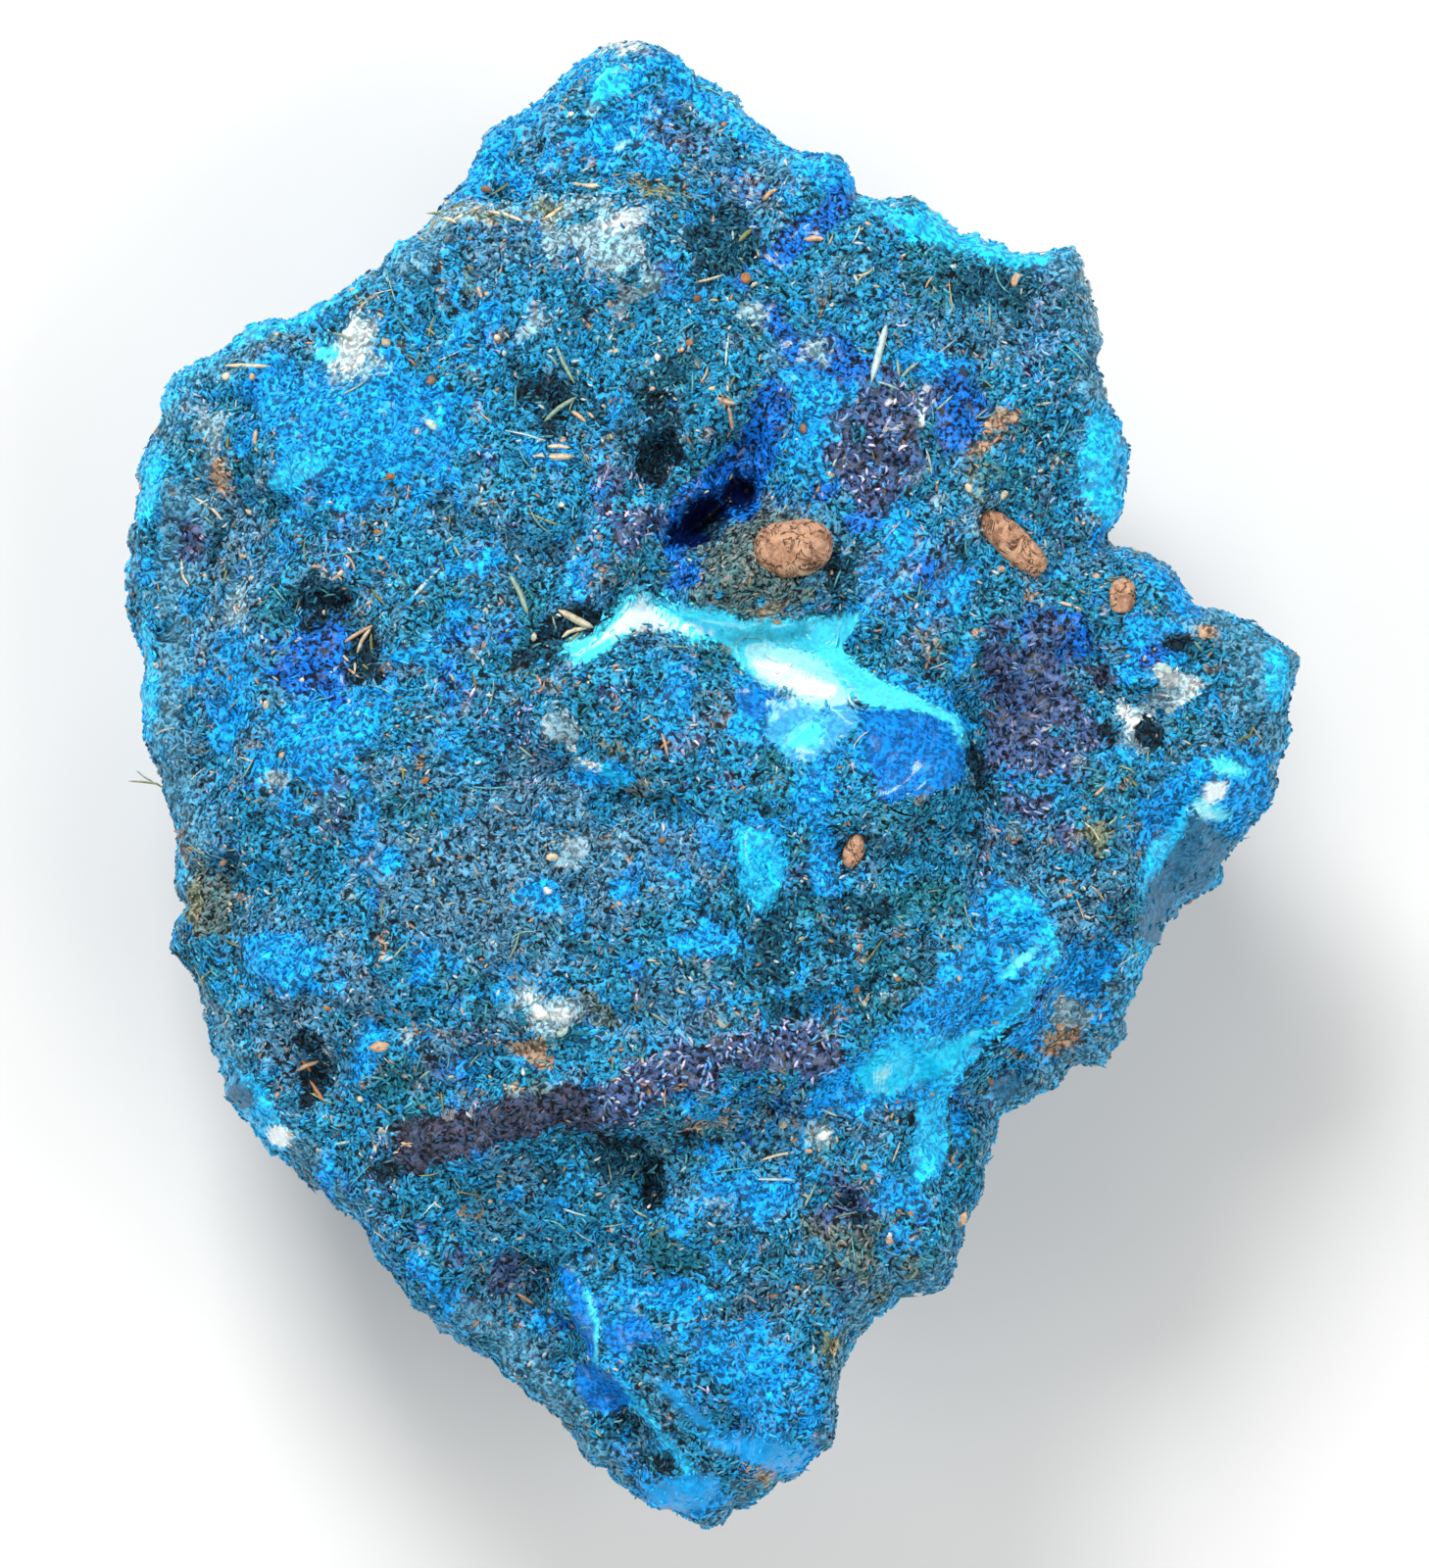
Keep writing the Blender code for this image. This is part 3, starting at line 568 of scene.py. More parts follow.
FINISHES = {
    "crust": Finish((0.018, 0.215, 0.370), (0.024, 0.260, 0.440), 1.0, 0.0, 1.0, 1.0),
    "slate": Finish((0.070, 0.205, 0.310), (0.085, 0.250, 0.380), 1.0, 0.0, 1.0, 0.9),
    "teal": Finish((0.014, 0.150, 0.210), (0.032, 0.225, 0.300), 1.0, 0.0, 1.0, 1.0),
    "murk": Finish((0.006, 0.055, 0.095), (0.022, 0.140, 0.205), 0.9, 0.0, 1.0, 1.0),
    "azure": Finish((0.006, 0.290, 0.700), (0.010, 0.340, 0.760), 0.40, 0.2, 0.75, 0.6),
    "haze": Finish((0.070, 0.240, 0.360), (0.080, 0.290, 0.430), 0.45, 0.25, 0.70, 0.7),
    "cobalt": Finish((0.004, 0.110, 0.430), (0.008, 0.190, 0.580), 0.22, 0.65, 1.0, 0.8),
    # near black: painted shade in the two cobalt holes.
    "hole_shade": Finish((0.002, 0.008, 0.055), (0.004, 0.030, 0.120), 0.06, 0.9, 0.5, 0.5),
    "violet": Finish((0.044, 0.084, 0.195), (0.120, 0.215, 0.380), 0.25, 0.75, 1.0, 0.9),
    "umber": Finish((0.038, 0.048, 0.088), (0.050, 0.088, 0.155), 0.25, 0.35, 1.0, 0.8),
    # glint: a violet slag ground whose pale grains are painted glints.
    "glint": Finish((0.034, 0.064, 0.155), (0.235, 0.375, 0.600), 0.45, 0.9, 1.0, 1.0),
    "milky": Finish((0.050, 0.380, 0.740), (0.060, 0.440, 0.780), 0.03, 0.45, 0.25, 0.3),
    "block": Finish((0.002, 0.185, 0.590), (0.004, 0.210, 0.640), 0.10, 0.6, 0.50, 0.5),
    "pale": Finish((0.210, 0.360, 0.430), (0.290, 0.450, 0.520), 0.30, 0.0, 0.6, 0.4),
    "chalk": Finish((0.520, 0.610, 0.620), (0.580, 0.670, 0.680), 0.15, 0.1, 0.40, 0.25),
    "tan": Finish((0.310, 0.215, 0.150), (0.340, 0.260, 0.190), 0.20, 0.0, 0.7, 0.4),
    "ochre": Finish((0.160, 0.190, 0.130), (0.260, 0.280, 0.190), 0.50, 0.0, 0.8, 0.6),
    "olive": Finish((0.085, 0.140, 0.140), (0.150, 0.230, 0.230), 0.80, 0.0, 1.0, 0.7),
    "plane": Finish((0.010, 0.350, 0.800), (0.030, 0.450, 0.880), 0.12, 0.6, 0.16, 0.08),
    # rim: bright azure on edges and broken faces, partly the stone's own colour and partly painted
    # highlight.
    "rim": Finish((0.014, 0.490, 0.890), (0.030, 0.520, 0.900), 0.20, 0.3, 0.45, 0.5),
    # edge: the bright line along the outline, partly the rim's own azure and partly painted rim light.
    "edge": Finish((0.030, 0.340, 0.600), (0.050, 0.400, 0.680), 0.35, 0.25, 0.70, 0.8),
    "smooth": Finish((0.028, 0.160, 0.290), (0.040, 0.230, 0.380), 0.10, 0.35, 0.35, 0.5),
    "lens": Finish((0.012, 0.620, 0.960), (0.030, 0.640, 0.960), 0.04, 0.6, 0.20, 0.3),
    "glaze": Finish((0.070, 0.740, 0.960), (0.090, 0.760, 0.960), 0.02, 0.95, 0.15, 0.3),
    # a pale cyan painted sheen round the painted highlights.
    "painted_sheen": Finish((0.350, 0.850, 0.950), (0.400, 0.860, 0.950), 0.01, 1.0, 0.10, 0.1),
    # white: painted highlights and glints, and on the glazed sliver a pale glaze that is partly painted
    # highlight.
    "white": Finish((0.800, 0.930, 0.950), (0.800, 0.930, 0.950), 0.01, 0.95, 0.10, 0.1),
    # dark: painted shade in hollows, pits and cracks, under steps and along block edges.
    "dark": Finish((0.004, 0.018, 0.032), (0.012, 0.070, 0.110), 0.70, 0.0, 1.0, 1.0),
}

# How torn each zone's border is, where it is torn less or more than the crust's.
CRUST_TEAR = 0.6
CRISP = {
    "glaze": 0.12, "white": 0.10, "smooth": 0.2, "rim": 0.25, "dark": 0.8, "cobalt": 0.35, "hole_shade": 0.25,
    "milky": 0.12, "painted_sheen": 0.15, "block": 0.3, "plane": 0.15, "lens": 0.12,
}

ZONES = [
    ("slate", [
        Patch(-20, -10, 16, 12, 20, 0.7), Patch(-40, -22, 14, 9, 60, 0.6), Patch(5, -57, 14, 9, 60, 0.5),
        Patch(20, 50, 10, 8, 0, 0.25), Patch(8, 42, 8, 6, 0, 0.5), Patch(-50, 20, 9, 20, 0, 0.4),
        Patch(38, -15, 14, 8, 60, 0.4), Patch(26, 47, 12, 8, 0, 0.3), Patch(-52, 12, 5, 28, -4, 0.4),
    ]),
    ("teal", [
        Patch(26, 51, 10, 5.5, 0, 0.6), Patch(8, 33, 3, 6, 0, 0.3), Patch(38, -1, 5, 9, 0, 0.4),
        Patch(-12, 8, 3, 6, 0, 0.3), Patch(20, -12, 10, 6, 0, 0.35), Patch(-4, -47, 12, 6, 0, 0.3),
    ]),
    ("olive", [
        Patch(4.7, 21.5, 8.4, 5.6, 15, 0.9), Patch(-12, -23, 5, 4, 0, 0.4), Patch(-6, 0, 5, 5, 0, 0.3),
        Patch(-50, -12, 3.5, 5, 0, 0.6), Patch(0, 30, 4, 4, 0, 0.3), Patch(14, -47, 9, 6, -30, 0.5),
    ]),
    ("murk", [
        Patch(1.5, 54, 5.5, 4.6, 0, 0.75), Patch(-14.8, 37, 6.5, 5, 0, 0.6),
        Patch(-38.5, 16.5, 4, 4, 0, 0.7), Patch(14, 21, 3, 5, 0, 0.6), Patch(27.5, 2, 2, 7, 5, 0.6),
        Patch(-5, 36, 3, 6, 15, 0.6), Patch(-15, 14.5, 4, 3, 20, 0.6), Patch(14, -12, 6, 2.5, 0, 0.5),
        Patch(-50, 24, 4, 4, 0, 0.4), Patch(5, -15.5, 12, 5, 8, 0.65), Patch(28, 50, 9, 4.5, 0, 0.5),
        Patch(-10, -38, 10, 2.4, 8, 0.5), Patch(8, -47, 5, 2.5, 0, 0.5), Patch(0, -56, 5, 2.5, 0, 0.4),
    ]),
    ("haze", [
        Patch(-54, 12, 4, 28, -4, 0.6), Patch(56, 12, 3.6, 7, -15, 0.9),
        Patch(50.5, 16.5, 6, 2.4, -24, 0.9), Patch(55, -2, 2.4, 6, -30, 0.7),
        Patch(37, -28, 6, 2.4, 32, 0.6), Patch(-20, -57, 10, 3, -42, 0.5),
    ]),
    ("azure", [
        Seam([(-24, 59), (-18.4, 68), (-11.5, 73.6)], 1.8, 0.8),
        Seam([(-2.1, 71), (5, 66), (10, 63), (14.4, 60)], 2.2, 0.85), Patch(-35.1, 35.8, 9.4, 7.8, -5),
        Patch(-8, 66, 10, 9, 0, 0.55), Patch(20.7, 4.8, 5.6, 5.0, 0), Patch(4.9, 7.5, 2.6, 2.2),
        Patch(-39.3, 4.5, 4.6, 4.8, 20), Patch(-16.8, -11.2, 2.7, 1.4), Patch(-28, -18, 2.3, 1.5, 80),
        Patch(-8.1, -10.5, 1.2, 1.0), Patch(-31.3, -7.8, 1.2, 1.0), Patch(-42.3, -18, 4.8, 2.2),
        Patch(-34, -27.2, 3.0, 1.4, 60), Patch(-38.3, -40.5, 2.7, 1.0, 80),
        Patch(44.2, 13, 3.8, 3.2, -20), Patch(51.2, -1.5, 6.6, 4.3, 15), Patch(-7.3, -55, 3.2, 1.2, -10),
        Patch(-4.3, -51.3, 4.4, 1.5), Patch(9.2, -68, 2.2, 1.6, 60), Patch(-3.1, -73.2, 4.2, 1.9),
        Patch(20.2, -41.5, 2.8, 1.7), Patch(31.7, -18.5, 2.4, 1.9), Patch(-9.8, 1.0, 2.9, 1.1),
        Patch(11.7, 39.5, 4.2, 1.6, -10), Patch(10.6, 34.6, 3.4, 6.4, -10, 0.85),
        Patch(8.5, -1, 6, 3.5, 0, 0.5), Patch(-2, 10, 5, 3, 0, 0.5), Patch(22, 41.5, 5, 5, 60, 0.45),
        Patch(18.8, 24.8, 1.7, 3.8, 0, 0.95), Patch(23.6, 19.4, 3.4, 3.6, -30, 0.6),
        Patch(36, -21, 8, 5, 50, 0.65), Patch(-24, 45, 8, 5, 30, 0.45), Patch(30, -12, 5, 4, 0, 0.4),
        Patch(-48, 8, 5, 12, 0, 0.4), Patch(-45, -20, 7, 4, 0, 0.4), Patch(4, -60, 11, 7, -20, 0.5),
        Patch(2, -41, 10, 4.5, 10, 0.6), Patch(-18, 60, 6, 4, 40, 0.5), Patch(46, 20, 6, 3, -40, 0.5),
        Patch(-22, 22, 6, 5, 0, 0.3), Patch(0, -16, 8, 4, 0, 0.3), Patch(-30, -48, 8, 3, -40, 0.45),
    ]),
    ("cobalt", [
        Facet([(4.5, 38.2), (3.5, 35.5), (0.9, 32.5), (-2.4, 29.6), (-4.1, 26.9), (-4.7, 24.9),
               (-4.4, 22.2), (-2.4, 21), (-1.8, 23.4), (0.3, 24.6), (2.1, 26), (4.7, 26.9), (5.6, 29),
               (6.8, 31.7), (7.1, 33.7), (8.6, 37.6), (8.3, 39.4), (6.2, 40.5)]),
        Patch(24.8, 37.2, 3.2, 2.4, 80), Patch(-38.8, 12.5, 4.0, 3.8),
        Patch(44.5, 12.5, 2.2, 1.4, 30, 0.8), Patch(13.2, 42.4, 4.6, 2.5, -30, 0.85),
        Patch(12.2, 29.4, 2.8, 2.2, 20, 0.6), Patch(15.2, 26, 2.0, 1.2, 0, 0.9),
        Patch(21.8, 20.8, 2.4, 2.6, -30, 0.6), Patch(35, 14.8, 5.5, 2.8, -10, 0.85),
        Patch(-2.5, 20.5, 2.4, 1.6, 40, 0.9),
        Seam([(34, -20.3), (31, -23.7), (27.6, -26.8), (25.2, -29.4), (24.3, -33.2)], 0.5, 0.8),
        Seam([(20.5, -26.8), (20.2, -30.6)], 0.25, 0.8),
        Seam([(13.4, 58), (10.5, 55.6), (7, 53)], 1.5, 0.9), Seam([(6, 47), (9, 43)], 1.6, 0.6),
    ]),
    ("violet", [
        Patch(18.4, 37.2, 4.0, 3.0), Patch(20.2, 33.6, 1.9, 3.2, 10, 0.8),
        Patch(-8.5, 30, 3.5, 3, 0, 0.5), Patch(33.2, 5, 10, 5.4, 100, 0.85),
        Patch(-20.5, -49.7, 2.4, 1.4, 80, 0.8), Patch(13.7, -42, 2.4, 2.4, 0, 0.8),
        Patch(-7.3, 27, 3.6, 3.4, 0, 0.6), Patch(30.2, -31, 2.3, 1.8, 70, 0.8),
        Patch(-52, 24, 2.6, 3.6, 0, 0.4), Patch(24, -20, 3, 2, 30, 0.4),
        Patch(29.5, 10.5, 3, 3.6, 0, 0.6),
    ]),
    ("umber", [
        Seam([(-29.8, -36.4), (-24, -34.9), (-18.5, -33.2), (-12.5, -32.4), (-9, -32)], 1.9),
        Patch(-14.2, -32.6, 4.4, 2.3, 5), Patch(20.6, 35.2, 1.6, 2.4, 20, 0.6),
        Patch(39, 11, 3, 2, 0, 0.5),
    ]),
    # Violet slag whose pale grains are painted glints.
    ("glint", [
        Seam([(-9, -31.4), (-5.5, -29.5), (-2, -27.8), (3, -26.8), (8, -26.4), (12, -27)], 2.1),
        Patch(17.0, 38.2, 2.2, 1.3, -30, 0.8), Patch(21.8, 38.4, 1.0, 2.4, 10, 0.8),
        Patch(36, 2, 3, 4, 0, 0.5), Patch(15.5, 31.4, 3.8, 3.6, 0, 0.95),
        Patch(19, 18, 4.6, 1.6, 0, 0.5), Patch(-8.5, 26.2, 4, 3, 0, 0.75),
        Patch(33, -2.5, 2.5, 4.0, 0, 0.5),
    ]),
    ("pale", [
        Patch(-9, 53, 5.2, 4.4, 90, 0.8), Patch(-35, 43, 3.0, 2.6, 80, 0.8),
        Patch(3.4, 47, 3, 2, 0, 0.5), Patch(46.9, 9.7, 3.6, 2.3, -15, 0.8), Patch(43.2, 5.5, 1.7, 1.6),
        Patch(-44.8, -37.5, 1.6, 1.2, 80), Patch(-13.3, -6.7, 2.1, 1.7, 60, 0.8),
        Patch(-14.8, 5.2, 1.7, 1.4), Patch(-15.4, -22.9, 3.2, 2.2, -25),
        Patch(11.8, -35.2, 2.0, 1.4, 0, 0.8), Patch(36.2, -23.5, 2.6, 2.6, 0, 0.7),
        Patch(-47.4, 17.8, 1.6, 1.2, 80), Patch(-42.3, 0.3, 1.0, 1.0), Patch(-11, 55, 12, 2.2, 6, 0.4),
        Patch(11, 44, 4, 3, 0, 0.4), Patch(-17, 46, 4, 3, -30, 0.4), Patch(-50, 36, 3, 5, -20, 0.35),
        Seam([(-28, 56.5), (-22, 57), (-16, 57.2), (-10, 57.8)], 1.4, 0.7),
        Seam([(-25.3, 61), (-28, 58), (-31, 55)], 0.9, 0.7),
        Seam([(37.2, 54.7), (38.8, 51), (40, 45.5)], 0.9, 0.8),
    ]),
    ("chalk", [
        Patch(-9.3, 75, 2.8, 1.2), Patch(-35.4, 44.4, 2.6, 1.2, 80, 0.9),
        Patch(-35.8, 42.4, 1.8, 1.0, 0, 0.9), Patch(-8, 56, 2.4, 1.4, 30, 0.6),
        Patch(-15.6, -22.6, 2.2, 1.4, -30, 0.8), Patch(18, 59, 1.8, 0.9, -20, 0.8),
        Patch(46.4, 10.6, 3.0, 0.9, -18), Patch(47.8, 8.7, 1.5, 1.1, 30, 0.9),
        Patch(42.1, 6.5, 1.7, 0.8, -50), Patch(54.4, 10.2, 0.8, 1.5, 25, 0.6),
        Patch(-17.2, 58.2, 1.8, 0.6, 0, 0.6), Seam([(-13.2, 3.4), (-12.6, 2.2), (-10.5, 1.6)], 0.7, 0.5),
    ]),
    ("tan", [
        Patch(29.4, 36.2, 1.1, 2.0, -50, 0.7), Patch(28.2, 33.8, 2.6, 0.8, 25, 0.6),
        Patch(31.6, 33.4, 1.2, 1.0, 0, 0.4), Patch(-17.3, -26.6, 2.2, 1.3, -20),
        Patch(5.9, -69.5, 2.0, 1.1, -30), Patch(-48.5, 31, 1.6, 2.2, 0, 0.5),
        Patch(-54, -6, 1.6, 3, 0, 0.5), Patch(6.4, 17.2, 1.4, 0.8), Patch(49.8, 15, 1.2, 0.9, 0, 0.9),
        Patch(36, -26, 2, 1.4, 30, 0.7),
    ]),
    ("ochre", [
        Patch(12.2, -56.5, 2.8, 2.8, 0, 0.5), Patch(-52, -12, 1.6, 2.4, 0, 0.5),
        Patch(38, -3, 6, 3, -60, 0.2), Patch(-20, 56.5, 8, 1.8, 12, 0.5),
        Patch(-5, 59.5, 7, 1.6, -10, 0.5),
    ]),
    # Bright azure on the edges and on the crest's broken faces, partly the stone's own colour and partly
    # painted highlight.
    ("rim", [
        Patch(40.5, 31, 5.4, 2.6, 100), Patch(27, 55.2, 8, 2.2, -15), Patch(-46.5, -33.5, 5.6, 2.8, -60),
        Patch(-32, 54.5, 4, 1.6, 40), Patch(44, -17, 3, 1.6, 60, 0.8), Patch(-47, 45.5, 6, 1.6, 28, 0.8),
        Patch(-57, 10, 1.4, 7, 0, 0.8), Patch(-56.5, 30, 1.6, 5, -14, 0.8),
        Patch(-10, 70, 2, 4, -30, 0.6), Patch(16.3, 58.4, 2.2, 1.2, -35, 0.8),
        Patch(-54.6, 39.8, 1.3, 3.2, -30), Patch(-40, 47.4, 7, 1.2, 22, 0.9),
        Patch(57, 10.5, 1.6, 4.5, 0, 0.7),
        Facet([(-44, 30), (-40.3, 33.2), (-37.3, 32), (-39.3, 30.5), (-42.3, 28.8), (-43.5, 29)]),
        Seam([(-9.2, -60), (-5.4, -64.7), (-1.9, -69.1), (-0.1, -72.2)], 0.8, 0.8),
        Facet([(2.7, -3.8), (4.8, -4.4), (7.5, -5.2), (7.9, -8.6), (7, -11.8), (5, -12.8), (3.4, -10.2)]),
        Seam([(10.2, 1.5), (10.4, -3.5), (11.2, -9.5)], 0.6, 0.8),
        Facet([(-10.4, 2.2), (-8.8, 1.2), (-7, 0.6), (-7.6, -0.2), (-9.4, 0.2), (-10.3, 1)], 0.9),
        Facet([(43.2, -9.5), (44.2, -6.5), (46.5, -4.5), (48.6, -2.8), (47.8, -5.5), (44.6, -10.2),
               (43.4, -13.4)], 0.9),
        Facet([(30.7, -14.6), (33.2, -15), (34, -18.4), (31.5, -19.9), (28.9, -18.6)], 0.9),
        Seam([(30.7, -12), (33.4, -16.4), (30.9, -21.2), (27.9, -25), (24.6, -27.8), (23, -30),
              (22.7, -34), (22.1, -38.6)], 1.6),
    ]),
    ("plane", [
        Facet([(-0.6, -65.6), (3, -65.2), (6, -65.1), (10.2, -67), (9.6, -69), (7.6, -70.2),
               (5.1, -68.4), (2, -67.4)]),
        Facet([(-5.9, -71.2), (-3.2, -70), (0.4, -69.6), (1.6, -71.2), (-0.6, -73.4), (-3.2, -74.6),
               (-5.4, -73.6)]),
        Seam([(-4.2, -60.6), (-1.8, -62.8), (0.6, -64.8)], 0.8, 0.8),
    ]),
    ("smooth", [
        Facet([(48.6, -2.8), (53.5, -6.5), (54, -9), (49, -13), (45, -18), (43.3, -14.5), (44.5, -10.3),
               (47.8, -5.5)]),
        Patch(-47.5, -31, 3.4, 1.8, -60, 0.7), Patch(30.5, -31, 1.6, 1.2, 60),
    ]),
    ("azure", [
        Facet([(31.5, -12.5), (27.5, -15.5), (23.2, -18.1), (18.5, -23.1), (14.9, -26.7), (9.9, -30.5),
               (9.9, -33), (15, -33.2), (21, -31.6), (23.2, -29.6), (27.9, -25.3), (30.7, -21.7),
               (33.8, -16.6), (33, -13)], 0.8),
    ]),
    ("azure", [
        Seam([(10.8, 1.5), (11.2, -3.5), (11.9, -9.8)], 1.5, 0.8),
    ]),
    # Bright azure on the crest's broken face, partly its own colour and partly painted highlight.
    ("rim", [
        Facet([(14.6, -28), (18.8, -25), (23.2, -25), (26.8, -26.4), (24.4, -29), (21, -30.6),
               (16, -31.4)], 0.9),
    ]),
    ("block", [
        Facet([(-15.3, -48), (-12, -50.6), (-10.5, -52.1), (-10.7, -54.1), (-11.4, -58.5),
               (-13.1, -54.6), (-13.8, -51.5)]),
        Facet([(-10.2, -54.4), (-6.3, -53.2), (-4.1, -55.4), (-7.2, -56.1), (-9.6, -57)]),
        Facet([(-13.8, -58.5), (-11.4, -58.3), (-9.4, -59.4), (-7.2, -62.5), (-9.4, -63.8),
               (-11.6, -63.8), (-13.3, -61.6)], 0.9),
        Facet([(2.4, 7.8), (3.4, 9.4), (7, 9), (7.6, 7.6), (6.4, 6.6), (4, 6.6)]),
        Facet([(15.3, 7.2), (20, 7.6), (23.8, 6.6), (25.5, 4.8), (25.5, 0.2), (21.5, -1.2), (17.2, -2),
               (16, 2.5)], 0.9),
    ]),
    ("milky", [
        Facet([(6.2, 8), (9.5, 8.8), (13, 8.4), (15, 6.4), (12.6, 3.4), (8.8, 1.8), (6, 4.6)]),
    ]),
    ("lens", [
        Facet([(14.5, -29.6), (16.3, -27.6), (19.6, -26.7), (20.3, -28.2), (19.9, -30.3), (18.5, -31),
               (16.7, -31)]),
        Facet([(23.5, -26.4), (27.1, -24.4), (28.2, -24.6), (25, -27.4), (23.2, -29.2), (21, -29.6),
               (20.7, -28.2)]),
    ]),
    ("glaze", [
        Facet([(0.9, 15.8), (3.7, 16.2), (15.6, 17), (14.5, 15.2), (13.4, 13.6), (15.8, 11), (21.2, 8.3),
               (15.6, 8.4), (11.5, 8.6), (6.7, 9.6), (3.7, 11), (2.0, 13.4)]),
        Patch(9.8, 4.8, 2.6, 1.6, 30, 0.7), Patch(52.3, 1.6, 2.2, 0.9, -20, 0.8),
        Patch(50.6, -2.6, 2.0, 0.7, -30), Patch(-38, 43, 2, 1.2, 0, 0.6),
        Seam([(15.5, 8.2), (20.5, 7.9), (24.4, 6.6), (25.7, 4)], 0.5, 0.9),
        Seam([(29.6, -19), (32.6, -16.4)], 0.6, 0.6),
        Seam([(-12, -51), (-10.9, -54.3), (-11.2, -58)], 0.35, 0.7), Patch(24, 58, 4, 1.0, -25, 0.7),
        Seam([(-12.3, 13.2), (-8.8, 15.8), (-6.4, 17.4), (-3.4, 16.2), (1.5, 15.6)], 1.5),
    ]),
    # Painted sheen round the highlights on the glaze, the crest, the lobe and the peak.
    ("painted_sheen", [
        Patch(8.9, 10.9, 5.4, 1.9, -24), Patch(49.9, -2.8, 1.2, 0.5, -30),
        Patch(17.4, -29.0, 1.6, 0.8, 25, 0.6), Patch(-8.4, 64, 1.2, 0.6, 0, 0.6),
    ]),
    # Painted highlights: a lens on the glaze, streaks on the violet slag and small glints; the glazed sliver
    # along the dome's edge is partly its own pale colour and partly painted highlight.
    ("white", [
        Facet([(4.7, 12.3), (6.5, 12.3), (10, 10.7), (12.8, 9.5), (12.8, 8.8), (10.8, 8.7), (6.5, 10),
               (4.9, 11.3)]),
        Facet([(20.7, 35.3), (21.2, 36.2), (20.9, 37.4), (21.4, 39.4), (21.7, 39.2), (21.4, 37.8),
               (21.9, 36.4), (22, 35.3)], 0.75),
        Patch(18.3, 37.9, 0.9, 0.3, -40, 0.8),
        Facet([(49.7, 0), (52, 0), (51.7, -1.2), (50.3, -1.9), (49.7, -1)]), Patch(-43, -35.5, 1.2, 1.0),
        Facet([(-12.4, 12.9), (-9.6, 14.9), (-7.6, 17.6), (-6.4, 18.4), (-5.2, 17.2), (-3.6, 15.8),
               (0.6, 15.1), (-3.6, 15.1), (-7, 15.2), (-9.6, 14.6)]),
    ]),
    # Painted shade in the two cobalt holes.
    ("hole_shade", [
        Patch(3.4, 29.1, 1.7, 1.5), Patch(-0.7, 26, 3.1, 2.0, 35),
    ]),
    # Painted shade in hollows, pits and cracks, under steps and along block edges.
    ("dark", [
        Seam([(34, -20.5), (31, -23.9), (27.6, -27), (25.2, -29.6), (24.3, -33.5)], 0.3, 0.35),
        Seam([(12.9, 0), (13.2, -9.6)], 0.3, 0.5), Seam([(11.7, -8.8), (17.8, -8.6)], 0.25, 0.6),
        Patch(20.4, -33.6, 0.9, 2.2, 0, 0.5), Patch(-4.8, 32.2, 3.2, 2.6, 30, 0.9),
        Patch(0.8, 25.6, 1.4, 0.8, 65, 0.8), Patch(-5.3, -40.5, 3.6, 2.8, 80, 0.45),
        Patch(-33.5, -38.3, 2.4, 2.2, 0, 0.6), Patch(-39.5, -30.2, 2.9, 1.6, 80, 0.7),
        Patch(-40.5, -25.7, 2.0, 1.8, 0, 0.6), Patch(-18.3, 12, 1.0, 0.9),
        Patch(-38.8, 17.8, 1.9, 1.6, 0, 0.9), Patch(-40.3, 15.5, 1.0, 1.0, 0, 0.8),
        Patch(13.2, -41.8, 1.1, 1.0), Patch(14.9, -43.7, 0.9, 0.8), Patch(28.7, 25.5, 1.0, 0.9),
        Patch(-4.8, -68.5, 2.8, 1.0, -35, 0.6), Patch(-14.8, 36.5, 5.4, 4.4, 0, 0.25),
        Patch(47.7, 14, 2.2, 0.8, 0, 0.8), Patch(44.4, 5.0, 1.5, 1.0, -30, 0.8),
        Patch(40.2, 5.0, 0.8, 1.6, 30, 0.6), Patch(-34.6, 12.6, 2.2, 2.8, 0, 0.7),
        Patch(12.6, 22.5, 0.6, 2.1, -14), Patch(-5, 38, 2, 5, 20, 0.4), Patch(26.6, 0, 1.2, 6, 0, 0.6),
        Patch(-7, -35.6, 6, 1.0, 8, 0.45), Patch(-13, 16.2, 3.4, 2.2, 0, 0.6),
        Patch(-4.2, 3.8, 1.8, 1.6, 0, 0.6), Patch(3, 36.2, 1.2, 3.0, 0, 0.8),
    ]),
]

# Spots that turn up anywhere: the finish, the size of their cell, their noise's least value, and
# how fully they cover.
SPOTS = [
    ("slate", 5.5, 0.10, 0.7, 121), ("teal", 6.0, 0.15, 0.8, 91), ("murk", 3.2, 0.32, 0.75, 151),
    ("azure", 4.2, 0.32, 0.75, 101), ("azure", 1.9, 0.52, 0.9, 111), ("cobalt", 3.6, 0.55, 0.6, 141),
    ("slate", 2.2, 0.42, 0.9, 125), ("tan", 1.9, 0.52, 0.6, 161), ("ochre", 3.4, 0.62, 0.5, 171),
    ("pale", 2.3, 0.72, 0.8, 131), ("murk", 1.5, 0.62, 1.0, 155), ("violet", 5.0, 0.66, 0.5, 181),
    # glint spots: slag whose pale grains are painted glints.
    ("glint", 4.6, 0.50, 0.45, 191),
]

# Larger spots that turn up on the wall and the back alone.
BACK_SPOTS = [
    ("haze", 13.0, 0.10, 0.7, 231), ("olive", 9.0, 0.40, 0.6, 251), ("azure", 10.0, 0.35, 0.75, 241),
    ("umber", 8.0, 0.55, 0.6, 261), ("pale", 5.0, 0.75, 0.6, 271), ("murk", 6.0, 0.50, 0.6, 281),
]

